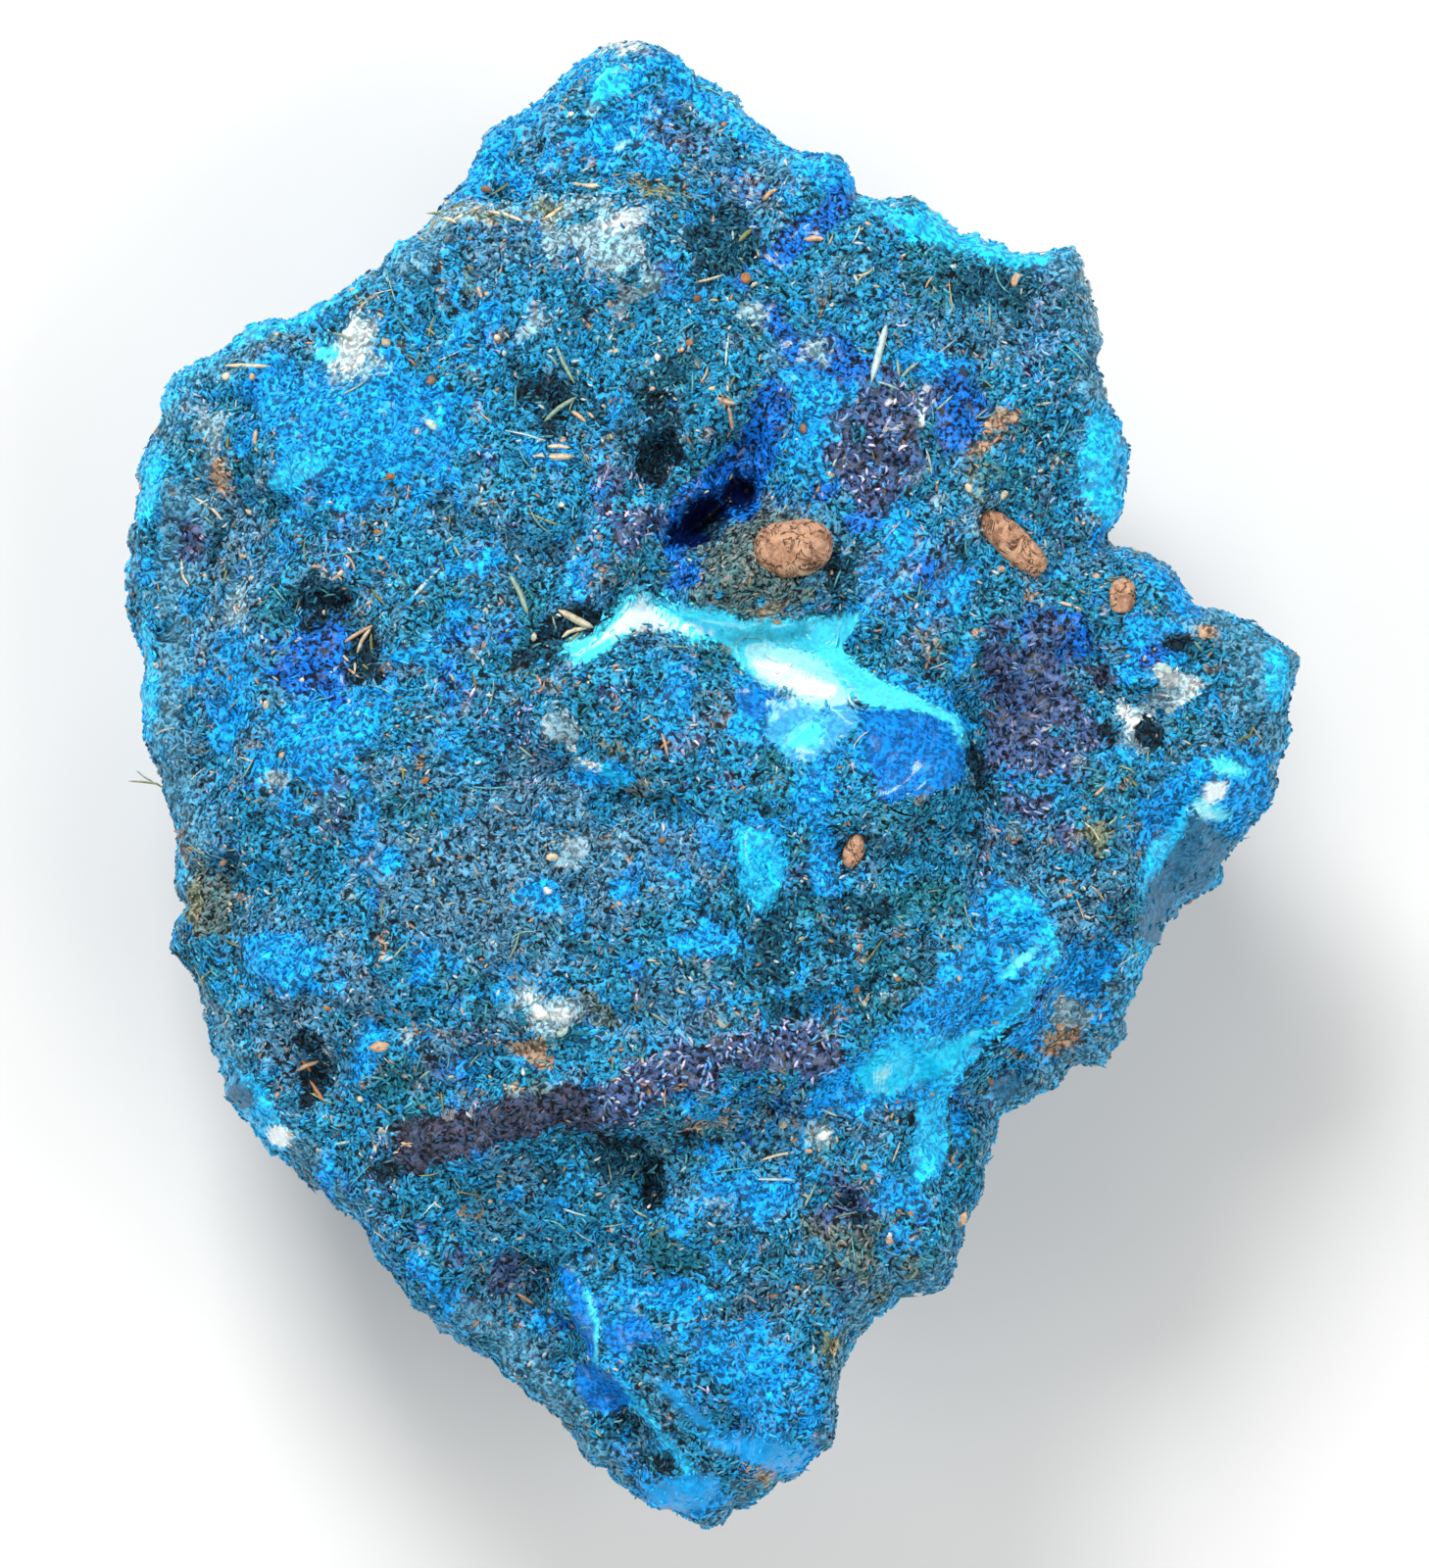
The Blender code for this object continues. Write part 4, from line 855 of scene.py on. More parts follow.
# The hazy band and the bright, broken line along the outline, which is partly the rim's own azure
# and partly painted rim light: how far each reaches in, over how much it fades, the cell of the
# noise that moves its border, and how fully it covers.
HAZE_WIDTH = 3.4
HAZE_FADE = 1.6
HAZE_CELL = 9
HAZE_COVER = 0.8
EDGE_WIDTH = 1.3
EDGE_FADE = 0.9
EDGE_CELL = 3.5
EDGE_COVER = 0.85

# How a zone ends: how far past its oval, over what share of it and from what weight it fades, and
# how deep a facet's border is. Then how soon a finish takes over, and how softly spots begin.
ZONE_REACH = 1.15
ZONE_FADE = 0.5
ZONE_LIFT = 0.35
FACET_BORDER = 0.8
FINISH_ONSET = 0.2
SPOT_FADE = 0.45
BACK_SPOT_FADE = 0.35
TEAR_CELL = 2.6
LEAST_RING = 0.1

# The surface's grid, the back's share of the bake map, the relief, and the gaps that pieces keep.
GRID_CELLS = 222
BACK_SHARE = 0.28
MAP_GAP = 0.01
KNOB = 0.42
KNOB_CELL = 2.1
PORE = 0.20
PORE_CELL = 0.9
BOX_MARGIN = 0.02
BED_INSET = 0.2
BED_GAP = 0.3


class Surface(NamedTuple):
    """The stone's grid: places, outward normals, four corners a face, and how each place looks:
    an under layer, a torn layer over it, and how much of the place the torn layer covers."""

    places: np.ndarray
    normals: np.ndarray
    quads: np.ndarray
    corner_map: np.ndarray
    under: dict
    over: dict
    cover: np.ndarray


def zone_weight(x, y, ragged, tear, shapes):
    """The fullest cover that any of a zone's shapes gives each place: it falls off from a
    shape's middle to its border, and noise tears it."""
    weight = np.zeros(len(x))
    for shape in shapes:
        if isinstance(shape, Patch):
            along, across = turned(x, y, shape)
            reach = np.hypot(along / shape.half_length, across / shape.half_width)
        elif isinstance(shape, Facet):
            reach = 1 - inward_distance(x, y, shape.outline) / FACET_BORDER
        else:
            distance, _, _ = line_offsets(x, y, shape.line)
            reach = distance / shape.half_width
        inward = (ZONE_REACH * shape.cover - reach + tear * ragged) / ZONE_FADE
        weight = np.maximum(weight, smooth_step(inward + ZONE_LIFT))
    return weight


def inward_distance(x, y, outline):
    """How far each place lies inside a closed outline, negative outside: the nearest side's
    distance, and a place is inside where a ray to the right crosses an odd count of sides."""
    closed = [*outline, outline[0]]
    distance, _, _ = line_offsets(x, y, closed)
    crossings = np.zeros(len(x), int)
    for (ax, ay), (bx, by) in itertools.pairwise(closed):
        straddles = (ay > y) != (by > y)
        crossing = ax + (y - ay) * (bx - ax) / (by - ay if by != ay else 1)
        crossings += straddles & (x < crossing)
    return np.where(crossings % 2 == 1, distance, -distance)


def blend_rows(rows, other, weight):
    """Moves each row towards the other one by its weight, from 0 to 1."""
    weight = weight[:, None] if rows.ndim == 2 else weight
    return rows + (np.asarray(other) - rows) * weight


def paint(places, upper, ring, finishes):
    """Lays the finishes over each place: spots anywhere, then the face's zones, then the bright line along
    the rim, which is partly painted rim light.

    A new finish comes over what lies there: the layer over the place first sinks into the one
    under it, in step with the new finish's weight, which then becomes the cover.
    """
    count = len(places)
    under = {
        key: np.full((count, len(value)) if np.ndim(value) else count, value, float)
        for key, value in finishes["crust"]._asdict().items()
    }
    over = {key: value.copy() for key, value in under.items()}
    cover = np.zeros(count)

    def lay(name, weight):
        """Lays one finish over the places by its weight at each of them."""
        here = smooth_step(weight / FINISH_ONSET)
        for key, value in finishes[name]._asdict().items():
            under[key] = blend_rows(under[key], over[key], cover * here)
            over[key] = blend_rows(over[key], value, here)
        cover[:] = cover + (weight - cover) * here

    # The gap is how far each place lies in from the outline.
    gap = np.hypot(places[:, 0], places[:, 1]) * (1 / np.maximum(ring, LEAST_RING) - 1)
    haze_reach = HAZE_WIDTH * (1 + rough(places, HAZE_CELL, seed=221, octaves=2))
    for name, cell, least, most, seed in SPOTS:
        lay(name, most * smooth_step((rough(places, cell, seed, 2) - least) / SPOT_FADE))
    behind = np.where(upper, smooth_step(1 - gap / 2), 1)
    for name, cell, least, most, seed in BACK_SPOTS:
        lay(name, behind * most * smooth_step((rough(places, cell, seed, 3) - least) / BACK_SPOT_FADE))
    lay("haze", HAZE_COVER * smooth_step((haze_reach - gap) / HAZE_FADE))
    ragged = rough(places, TEAR_CELL, seed=201)
    for name, shapes in ZONES:
        weight = np.zeros(count)
        tear = CRISP.get(name, CRUST_TEAR)
        weight[upper] = zone_weight(places[upper, 0], places[upper, 1], ragged[upper], tear, shapes)
        lay(name, weight)
    # The bright line along the outline: partly the rim's own azure, partly painted rim light.
    edge_reach = EDGE_WIDTH * (1 + rough(places, EDGE_CELL, seed=215))
    edge_breaks = smooth_step((rough(places, 4.5, seed=211) + 0.45) / 0.8)
    lay("edge", EDGE_COVER * smooth_step((edge_reach - gap) / EDGE_FADE) * edge_breaks)
    return under, over, cover


def disc_grid(cells):
    """Squares mapped on to a disc with equal areas: ring is a place's larger coordinate, and the
    angle runs evenly along each side of the square. Returns angle, ring and place in the square."""
    line = np.linspace(-1, 1, cells + 1)
    u, v = np.meshgrid(line, line, indexing="ij")
    ring = np.maximum(np.abs(u), np.abs(v))
    wide = np.abs(u) >= np.abs(v)
    safe = np.where(wide, np.where(u == 0, 1, u), v)
    share = np.where(wide, v, u) / safe * np.pi / 4
    angle = np.where(wide, share, np.pi / 2 - share) + np.where(safe < 0, np.pi, 0)
    return angle, ring, np.stack([u, v], axis=-1) / 2 + 0.5


def cell_corners(index):
    """The four corners of each cell of a grid of place numbers."""
    return np.stack([index[:-1, :-1], index[1:, :-1], index[1:, 1:], index[:-1, 1:]], axis=-1).reshape(-1, 4)


def ring_faces(index, bottom, top):
    """Faces round a stack of closed rings of places: four corners between one ring and the next,
    and three from the lowest ring to the bottom place and from the highest to the top one."""
    after = np.roll(index, -1, axis=1)
    around_sides = np.stack([index[:-1], after[:-1], after[1:], index[1:]], axis=-1).reshape(-1, 4)
    below = np.stack([after[0], index[0], np.full(len(index[0]), bottom)], axis=-1)
    above = np.stack([index[-1], after[-1], np.full(len(index[0]), top)], axis=-1)
    return around_sides, np.concatenate([below, above])


def stone_grid():
    """Two disc grids, the face's and the back's, that share their outer ring of places."""
    angle, ring, square = disc_grid(GRID_CELLS)
    count = ring.size
    face_index = np.arange(count).reshape(ring.shape)
    inner = ring < 1
    back_index = face_index.copy()
    back_index[inner] = count + np.arange(inner.sum())
    upper = np.concatenate([np.ones(count, bool), np.zeros(inner.sum(), bool)])
    angles = np.concatenate([angle.ravel(), angle[inner]])
    rings = np.concatenate([ring.ravel(), ring[inner]])
    cells = cell_corners(face_index)
    quads = np.concatenate([cells, cell_corners(back_index)[:, ::-1]])
    square = square.reshape(-1, 2)
    face_map = square[cells] * (1, 1 - BACK_SHARE) + (0, BACK_SHARE)
    back_map = square[cells[:, ::-1]] * (1, BACK_SHARE - MAP_GAP)
    return angles, rings, upper, quads, np.concatenate([face_map, back_map]).reshape(-1, 2)


def grid_normals(places, quads):
    """Each place's outward normal: the sum of its faces' normals, each the cross of its diagonals."""
    corner = places[quads]
    facing = np.cross(corner[:, 2] - corner[:, 0], corner[:, 3] - corner[:, 1])
    normals = np.stack([
        np.bincount(quads.ravel(), np.repeat(facing[:, axis], 4), len(places)) for axis in range(3)
    ], axis=1)
    return normals / np.maximum(np.linalg.norm(normals, axis=1), 1e-9)[:, None]


def pebble_reach(pebble, x, y):
    """How far out of the pebble's middle each place lies, as a share of its half sizes."""
    along, across = turned(x, y, pebble)
    return np.hypot(along / (pebble.length / 2 - BED_INSET), across / (pebble.width / 2 - BED_INSET))


@functools.lru_cache(maxsize=1)
def stone_surface(grounds):
    """The solid's own formula on the fine grid, then knobs and pores along the normals, and a bed
    under each pebble. grounds holds the ground colours that replace the finishes' own."""
    finishes = FINISHES | {name: FINISHES[name]._replace(ground=ground) for name, ground in grounds}
    angle, ring, upper, quads, corner_map = stone_grid()
    places = stone_places(angle, ring, upper)
    places[:, 2] = np.maximum(places[:, 2], 0)
    under, over, cover = paint(places, upper, ring, finishes)

    grit = blend_rows(under["grit"], over["grit"], cover)
    relief = KNOB * rough(places, KNOB_CELL, 301, 2) + PORE * value_noise(places, PORE_CELL, 311)
    places = places + grid_normals(places, quads) * (relief * grit)[:, None]
    for pebble in PEBBLES:
        reach = pebble_reach(pebble, places[:, 0], places[:, 1])
        middle = pebble_level(pebble) + pebble.proud - pebble.thickness / 2
        bed = middle - pebble.thickness / 2 * np.sqrt(np.clip(1 - reach**2, 0, 1)) - BED_GAP
        inside = upper & (reach < 1)
        places[:, 2] = np.where(inside, np.minimum(places[:, 2], bed), places[:, 2])
        for layer in (under, over):
            layer["density"] = np.where(inside, 0, layer["density"])

    low = np.array(CAD_BOX[0]) / MM + BOX_MARGIN
    high = np.array(CAD_BOX[1]) / MM - BOX_MARGIN
    low[2] = 0
    places = np.clip(places, low, high)
    return Surface(places, grid_normals(places, quads), quads, corner_map, under, over, cover)


def inside_box(places):
    """Keeps places a hair inside the solids' box."""
    low, high = (np.array(corner) / MM for corner in CAD_BOX)
    return np.clip(places, low + BOX_MARGIN, high - BOX_MARGIN)


def new_object(name, places, faces, material, corner_map=None, **attributes):
    """Makes an object from places in millimetres and rows of corners, with its attributes.
    faces is a list of arrays, each with one row of corners a face, and corner_map gives each
    corner its place in the map that the export bakes to."""
    if not len(places) or not np.isfinite(places).all():
        raise ValueError(f"{name} has no places, or some that aren't numbers")
    mesh = bpy.data.meshes.new(name)
    mesh.vertices.add(len(places))
    mesh.vertices.foreach_set("co", (places * MM).astype(np.float32).ravel())
    corners = np.concatenate([rows.ravel() for rows in faces]).astype(np.int32)
    sizes = np.concatenate([np.full(len(rows), rows.shape[1]) for rows in faces])
    mesh.loops.add(len(corners))
    mesh.loops.foreach_set("vertex_index", corners)
    mesh.polygons.add(len(sizes))
    mesh.polygons.foreach_set("loop_start", np.concatenate([[0], np.cumsum(sizes)[:-1]]).astype(np.int32))
    mesh.update(calc_edges=True)
    for key, values in attributes.items():
        if values.ndim == 2:
            rgba = np.concatenate([values, np.ones((len(values), 1))], axis=1)
            layer = mesh.attributes.new(key, "FLOAT_COLOR", "POINT")
            layer.data.foreach_set("color", rgba.astype(np.float32).ravel())
        else:
            layer = mesh.attributes.new(key, "FLOAT", "POINT")
            layer.data.foreach_set("value", values.astype(np.float32))
    if corner_map is not None:
        mesh.uv_layers.new(name="OFBake").uv.foreach_set("vector", corner_map.astype(np.float32).ravel())
    mesh.shade_smooth()
    mesh.materials.append(material)
    made = bpy.data.objects.new(name, mesh)
    bpy.context.scene.collection.objects.link(made)
    return made


def new_piece(name, slot, places, faces, material, corner_map=None, **attributes):
    """Makes an object that rides on the frame; the colour slot it is given is not used."""
    piece = new_object(name, places, faces, material, corner_map, **attributes)
    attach(piece, BODY)
    return piece


def grain_density(surface):
    """How many grains the finishes ask for at each place, as a share."""
    return blend_rows(surface.under["density"], surface.over["density"], surface.cover)


def scatter(surface, count, weight, rng):
    """Even random places over the surface's faces: each face is drawn by its area times its
    weight, and the place in it by two random shares. Returns places, normals and nearest corner."""
    corner = surface.places[surface.quads]
    area = np.linalg.norm(np.cross(corner[:, 2] - corner[:, 0], corner[:, 3] - corner[:, 1]), axis=1) / 2
    chance = area * weight[surface.quads].mean(axis=1)
    chosen = rng.choice(len(chance), count, p=chance / chance.sum())
    s, t = rng.random((2, count, 1))
    four = corner[chosen]
    near_side = four[:, 0] * (1 - s) + four[:, 1] * s
    far_side = four[:, 3] * (1 - s) + four[:, 2] * s
    places = near_side * (1 - t) + far_side * t
    nearest = surface.quads[chosen, 0]
    return places, surface.normals[nearest], nearest


# A grain's four stations along its axis, how far a bent one is set back towards its middle, and
# where each of its points lies in its own cell of the bake map.
SPINDLE_STATIONS = np.array([-0.5, -0.2, 0.2, 0.5])
SPINDLE_SET_BACK = 0.12
SPINDLE_ALONG = [0, 0.3, 0.3, 0.3, 0.3, 0.7, 0.7, 0.7, 0.7, 1]
SPINDLE_ACROSS = [0.5, 1, 0.55, 0, 0.45, 1, 0.55, 0, 0.45, 0.5]
SPINDLE_POINTS = len(SPINDLE_ALONG)
CELL_SHARE = 0.8
CELL_MARGIN = 0.1


def spindles(middle, normal, heading, length, width, bend):
    """Grains of rice: a profile of four points is carried past two stations of a slightly bent
    axis, and a tip closes each end. Returns places and the rows of triangles and quads."""
    side = np.cross(normal, heading)
    count = len(middle)
    stations = SPINDLE_STATIONS
    sag = (stations**2 - SPINDLE_SET_BACK)[None, :, None] * (bend * length)[:, None, None] * side[:, None]
    axis = middle[:, None] + stations[None, :, None] * (heading * length[:, None])[:, None] + sag
    around_axis = np.stack([side, normal, -side, -normal], axis=1) * (width / 2)[:, None, None]
    rings = axis[:, 1:3, None] + around_axis[:, None]
    places = np.concatenate([axis[:, :1], rings.reshape(count, 8, 3), axis[:, 3:]], axis=1)
    first = np.arange(count)[:, None, None] * SPINDLE_POINTS
    ring = np.arange(4)
    after = (ring + 1) % 4
    start = np.stack([np.zeros(4, int), 1 + after, 1 + ring], axis=1)
    middle_rows = np.stack([1 + ring, 1 + after, 5 + after, 5 + ring], axis=1)
    end = np.stack([5 + ring, 5 + after, np.full(4, 9)], axis=1)
    triangles = (first + np.concatenate([start, end])[None]).reshape(-1, 3)
    quads = (first + middle_rows[None]).reshape(-1, 4)
    return places.reshape(-1, 3), [triangles, quads]


def spindle_map(faces):
    """Gives each grain its own square cell in the bake map, and each of its points a place in it."""
    corners = np.concatenate([rows.ravel() for rows in faces])
    grain, point = np.divmod(corners, SPINDLE_POINTS)
    side = int(np.ceil(np.sqrt(grain.max() + 1)))
    inside = np.stack([np.array(SPINDLE_ALONG)[point], np.array(SPINDLE_ACROSS)[point]], axis=1)
    cell = np.stack([grain % side, grain // side], axis=1)
    return (cell + (inside * CELL_SHARE + CELL_MARGIN)) / side


# The tints that a grain's tone is multiplied by, their shares, and the colours of odd grains.
GRAIN_TINTS = np.array([
    (0.90, 0.95, 0.95), (0.28, 0.42, 0.50), (1.90, 1.20, 1.10), (3.40, 1.70, 1.45), (0.50, 1.25, 1.60),
])
GRAIN_SHARES = [0.32, 0.27, 0.17, 0.09, 0.15]
GRAIN_LIGHTNESS = (0.75, 1.25)
ODD_GRAINS = [(0.46, 0.42, 0.30), (0.55, 0.60, 0.58), (0.36, 0.21, 0.13), (0.01, 0.02, 0.03)]
ODD_SHARE = 0.04
ODD_SPREAD = 0.6
BRIGHTEST = 0.95


def headings(normals, rng):
    """A random direction in each normal's tangent plane."""
    loose = rng.normal(size=normals.shape)
    loose -= normals * (loose * normals).sum(axis=1)[:, None]
    return loose / np.linalg.norm(loose, axis=1)[:, None]


def grain_tones(surface, nearest, rng):
    """The local grain colour times a drawn tint, and now and then an odd colour instead."""
    count = len(nearest)
    on_top = rng.random(count) < surface.cover[nearest]
    grain = np.where(on_top[:, None], surface.over["grain"][nearest], surface.under["grain"][nearest])
    spread = np.where(on_top, surface.over["spread"][nearest], surface.under["spread"][nearest])
    tint = GRAIN_TINTS[rng.choice(len(GRAIN_TINTS), count, p=GRAIN_SHARES)]
    tint = tint ** spread[:, None] * rng.uniform(*GRAIN_LIGHTNESS, (count, 1))
    tone = grain * tint
    odd = np.array(ODD_GRAINS)[rng.integers(len(ODD_GRAINS), size=count)]
    rare = (rng.random(count) < ODD_SHARE) & (spread > ODD_SPREAD)
    return np.clip(np.where(rare[:, None], odd, tone), 0, BRIGHTEST)


def add(tree, kind, **inputs):
    """Adds a node and sets or links its inputs by name; an input's value may be a socket."""
    made = tree.nodes.new(kind)
    for key, value in inputs.items():
        socket = made.inputs[key.replace("_", " ")]
        if isinstance(value, bpy.types.NodeSocket):
            tree.links.new(value, socket)
        else:
            socket.default_value = value
    return made


def attribute(tree, name, output):
    """Reads one of the mesh's attributes."""
    reader = tree.nodes.new("ShaderNodeAttribute")
    reader.attribute_name = name
    return reader.outputs[output]


def noise(tree, place, cell, detail, roughness, distortion=0.0):
    """A noise texture whose features are about a cell, in millimetres, across."""
    made = add(
        tree, "ShaderNodeTexNoise",
        Vector=place, Scale=1 / (cell * MM), Detail=detail, Roughness=roughness, Distortion=distortion,
    )
    return made.outputs["Fac"]


def remap(tree, value, start, end):
    """Stretches a value from one span to another, and keeps it inside."""
    made = tree.nodes.new("ShaderNodeMapRange")
    tree.links.new(value, made.inputs["Value"])
    for key, number in zip(("From Min", "From Max", "To Min", "To Max"), (*start, *end)):
        made.inputs[key].default_value = number
    return made.outputs["Result"]


def maths(tree, operation, *values):
    """Adds a math node; each value is a number or a socket."""
    made = tree.nodes.new("ShaderNodeMath")
    made.operation = operation
    for socket, value in zip(made.inputs, values):
        if isinstance(value, bpy.types.NodeSocket):
            tree.links.new(value, socket)
        else:
            socket.default_value = value
    return made.outputs[0]


def mix(tree, blend, factor, first, second):
    """Mixes two colours; each of factor, first and second is a value or a socket."""
    made = tree.nodes.new("ShaderNodeMix")
    made.data_type = "RGBA"
    made.blend_type = blend
    for index, value in ((0, factor), (6, first), (7, second)):
        if isinstance(value, bpy.types.NodeSocket):
            tree.links.new(value, made.inputs[index])
        else:
            made.inputs[index].default_value = value
    return made.outputs[2]


def new_material(name, roughness, specular):
    """A new material with its tree, its shader and its Object coordinates."""
    made = bpy.data.materials.new(name)
    made.use_nodes = True
    tree = made.node_tree
    shader = tree.nodes["Principled BSDF"]
    shader.inputs["Roughness"].default_value = roughness
    shader.inputs["Specular IOR Level"].default_value = specular
    place = tree.nodes.new("ShaderNodeTexCoord").outputs["Object"]
    return made, tree, shader, place


def raise_bumps(tree, shader, height, depth):
    """Bumps the shaded surface by a height times a depth in millimetres."""
    bump = add(tree, "ShaderNodeBump", Height=height, Distance=depth * MM, Strength=1.0)
    tree.links.new(bump.outputs[0], shader.inputs["Normal"])


def grey(tree, value):
    """Turns a number into a grey colour that can multiply another."""
    made = tree.nodes.new("ShaderNodeCombineColor")
    for socket in made.inputs:
        tree.links.new(value, socket)
    return made.outputs[0]


# The span that most of a noise's values lie in, and the span of a share.
NOISE_SPAN = (0.3, 0.7)
WHOLE = (0.0, 1.0)


def stone_material():
    """Two layers of tone from the grid, the upper one torn by fine noise, both broken into small
    lumps with dark gaps of painted shade between them, and glossy where the stone is glazed."""
    made, tree, shader, place = new_material("crusted_turquoise", roughness=0.6, specular=0.15)
    grit = attribute(tree, "grit", "Fac")
    gloss = attribute(tree, "gloss", "Fac")
    fine = noise(tree, place, cell=0.55, detail=2.0, roughness=0.55, distortion=0.5)
    coarse = noise(tree, place, cell=1.5, detail=4.0, roughness=0.6)
    tear = remap(tree, noise(tree, place, cell=0.9, detail=3.0, roughness=0.65), NOISE_SPAN, (-0.5, 0.5))
    tear = maths(tree, "MULTIPLY", tear, remap(tree, grit, (0.2, 0.7), (0.1, 1.0)))
    cover = remap(tree, attribute(tree, "cover", "Fac"), WHOLE, (-0.6, 0.6))
    torn = remap(tree, maths(tree, "SUBTRACT", cover, tear), (-0.08, 0.08), WHOLE)
    colour = mix(tree, "MIX", torn, attribute(tree, "tone", "Color"), attribute(tree, "over", "Color"))
    drift = remap(tree, noise(tree, place, cell=1.3, detail=3.0, roughness=0.6), (0.35, 0.65), WHOLE)
    tinted = mix(tree, "MIX", drift, (0.55, 1.15, 1.30, 1), (1.50, 0.92, 0.80, 1))
    colour = mix(tree, "MULTIPLY", maths(tree, "MULTIPLY", grit, 0.7), colour, tinted)
    # The gaps are painted shade: the valleys of the fine noise, which also bumps the surface, are darkened.
    gaps = remap(tree, fine, (0.42, 0.58), (0.06, 1.80))
    shade = maths(tree, "MULTIPLY", gaps, remap(tree, coarse, NOISE_SPAN, (0.45, 1.6)))
    colour = mix(tree, "MULTIPLY", grit, colour, grey(tree, shade))
    tree.links.new(colour, shader.inputs["Base Color"])
    tree.links.new(remap(tree, gloss, WHOLE, (0.68, 0.16)), shader.inputs["Roughness"])
    tree.links.new(maths(tree, "MULTIPLY", gloss, 0.6), shader.inputs["Coat Weight"])
    shader.inputs["Coat Roughness"].default_value = 0.12
    height = maths(tree, "MULTIPLY", maths(tree, "ADD", fine, coarse), maths(tree, "ADD", grit, 0.08))
    raise_bumps(tree, shader, height, depth=0.3)
    return made


def pebble_material(plate):
    """Flaky orange brown: plates of two tones, thin dark cracks where a bent noise crosses its
    middle value, and pale dust on the plates."""
    made, tree, shader, place = new_material("flaky_brown", roughness=0.85, specular=0.25)
    blotch = noise(tree, place, cell=1.6, detail=3.0, roughness=0.6, distortion=0.8)
    dust = noise(tree, place, cell=0.6, detail=4.0, roughness=0.7)
    bent = noise(tree, place, cell=2.4, detail=3.0, roughness=0.6, distortion=1.4)
    dark, light, pale = (0.27, 0.130, 0.072, 1), (*plate, 1), (0.68, 0.50, 0.40, 1)
    colour = mix(tree, "MIX", remap(tree, blotch, (0.40, 0.55), WHOLE), dark, light)
    colour = mix(tree, "MIX", remap(tree, dust, (0.50, 0.75), (0.0, 0.7)), colour, pale)
    off_middle = maths(tree, "ABSOLUTE", maths(tree, "SUBTRACT", bent, 0.5))
    cracks = remap(tree, off_middle, (0.0, 0.022), (0.25, 1.0))
    colour = mix(tree, "MULTIPLY", 1.0, colour, grey(tree, cracks))
    tree.links.new(colour, shader.inputs["Base Color"])
    height = maths(tree, "ADD", maths(tree, "ADD", blotch, cracks), maths(tree, "MULTIPLY", dust, 0.5))
    raise_bumps(tree, shader, height, depth=0.35)
    return made


def toned_material(name, roughness, specular, cell, detail, shades, depth):
    """Each small piece's own tone, times a grey that noise moves from one shade to another, with
    bumps of the same noise."""
    made, tree, shader, place = new_material(name, roughness, specular)
    cloud = noise(tree, place, cell, detail, roughness=0.6)
    shade = grey(tree, remap(tree, cloud, NOISE_SPAN, shades))
    colour = mix(tree, "MULTIPLY", 1.0, attribute(tree, "tone", "Color"), shade)
    tree.links.new(colour, shader.inputs["Base Color"])
    raise_bumps(tree, shader, cloud, depth)
    return made


def grain_material():
    """A grain is a little lighter and darker along it."""
    return toned_material("turquoise_grain", 0.55, 0.15, cell=0.3, detail=2.0, shades=(0.8, 1.2), depth=0.05)


def chip_material():
    """A chip is blotched and pitted."""
    return toned_material("stone_chip", 0.7, 0.35, cell=0.5, detail=3.0, shades=(0.55, 1.3), depth=0.12)


def straw_material():
    """Dry straw is streaked, with a faint gloss."""
    return toned_material("dry_straw", 0.45, 0.4, cell=0.5, detail=3.0, shades=(0.6, 1.35), depth=0.06)


def floor_material():
    """Pale grey with broad, faint clouds."""
    made, tree, shader, place = new_material("pale_floor", roughness=0.8, specular=0.2)
    cloud = remap(tree, noise(tree, place, cell=60.0, detail=2.0, roughness=0.5), NOISE_SPAN, WHOLE)
    colour = mix(tree, "MIX", cloud, (0.74, 0.74, 0.73, 1), (0.78, 0.78, 0.77, 1))
    tree.links.new(colour, shader.inputs["Base Color"])
    return made


def count_property(name, description, default):
    """A whole number of pieces."""
    return bpy.props.IntProperty(name=name, description=description, default=default, min=1)


def length_property(name, description, default):
    """A length in metres."""
    return bpy.props.FloatProperty(
        name=name, description=description, default=default, min=0.0001, unit="LENGTH", precision=5
    )


def colour_property(name, description, default):
    """A linear colour."""
    return bpy.props.FloatVectorProperty(
        name=name, description=description, default=default, subtype="COLOR", size=3, min=0, max=1
    )


class TurquoiseSettings(bpy.types.PropertyGroup):
    """Counts, sizes and colours that a user would change."""

    grains: count_property("Grains", "How many grains lie on the stone", 52000)
    fibres: count_property("Fibres", "How many loose fibres lie on the stone", 300)
    chips: count_property("Chips", "How many loose chips lie on the stone", 150)
    grain_length: length_property("Grain length", "The usual length of a grain", 0.0008)
    fibre_length: length_property("Fibre length", "The usual length of a loose fibre", 0.002117)
    crust: colour_property("Crust", "The grainy crust's ground colour", FINISHES["crust"].ground)
    azure: colour_property("Azure", "The bright patches' ground colour", FINISHES["azure"].ground)
    cobalt: colour_property("Cobalt", "The deep blue seams' ground colour", FINISHES["cobalt"].ground)
    glaze: colour_property("Glaze", "The glassy break's ground colour", FINISHES["glaze"].ground)
    pebble: colour_property("Pebble", "The lighter plates of the brown pebbles", (0.52, 0.29, 0.175))
    seed: bpy.props.IntProperty(name="Seed", description="Draws the loose matter another way", default=17)


def chosen_grounds(settings):
    """The ground colours that the settings give, as rows that a cache can keep."""
    return tuple((name, tuple(getattr(settings, name))) for name in ("crust", "azure", "cobalt", "glaze"))


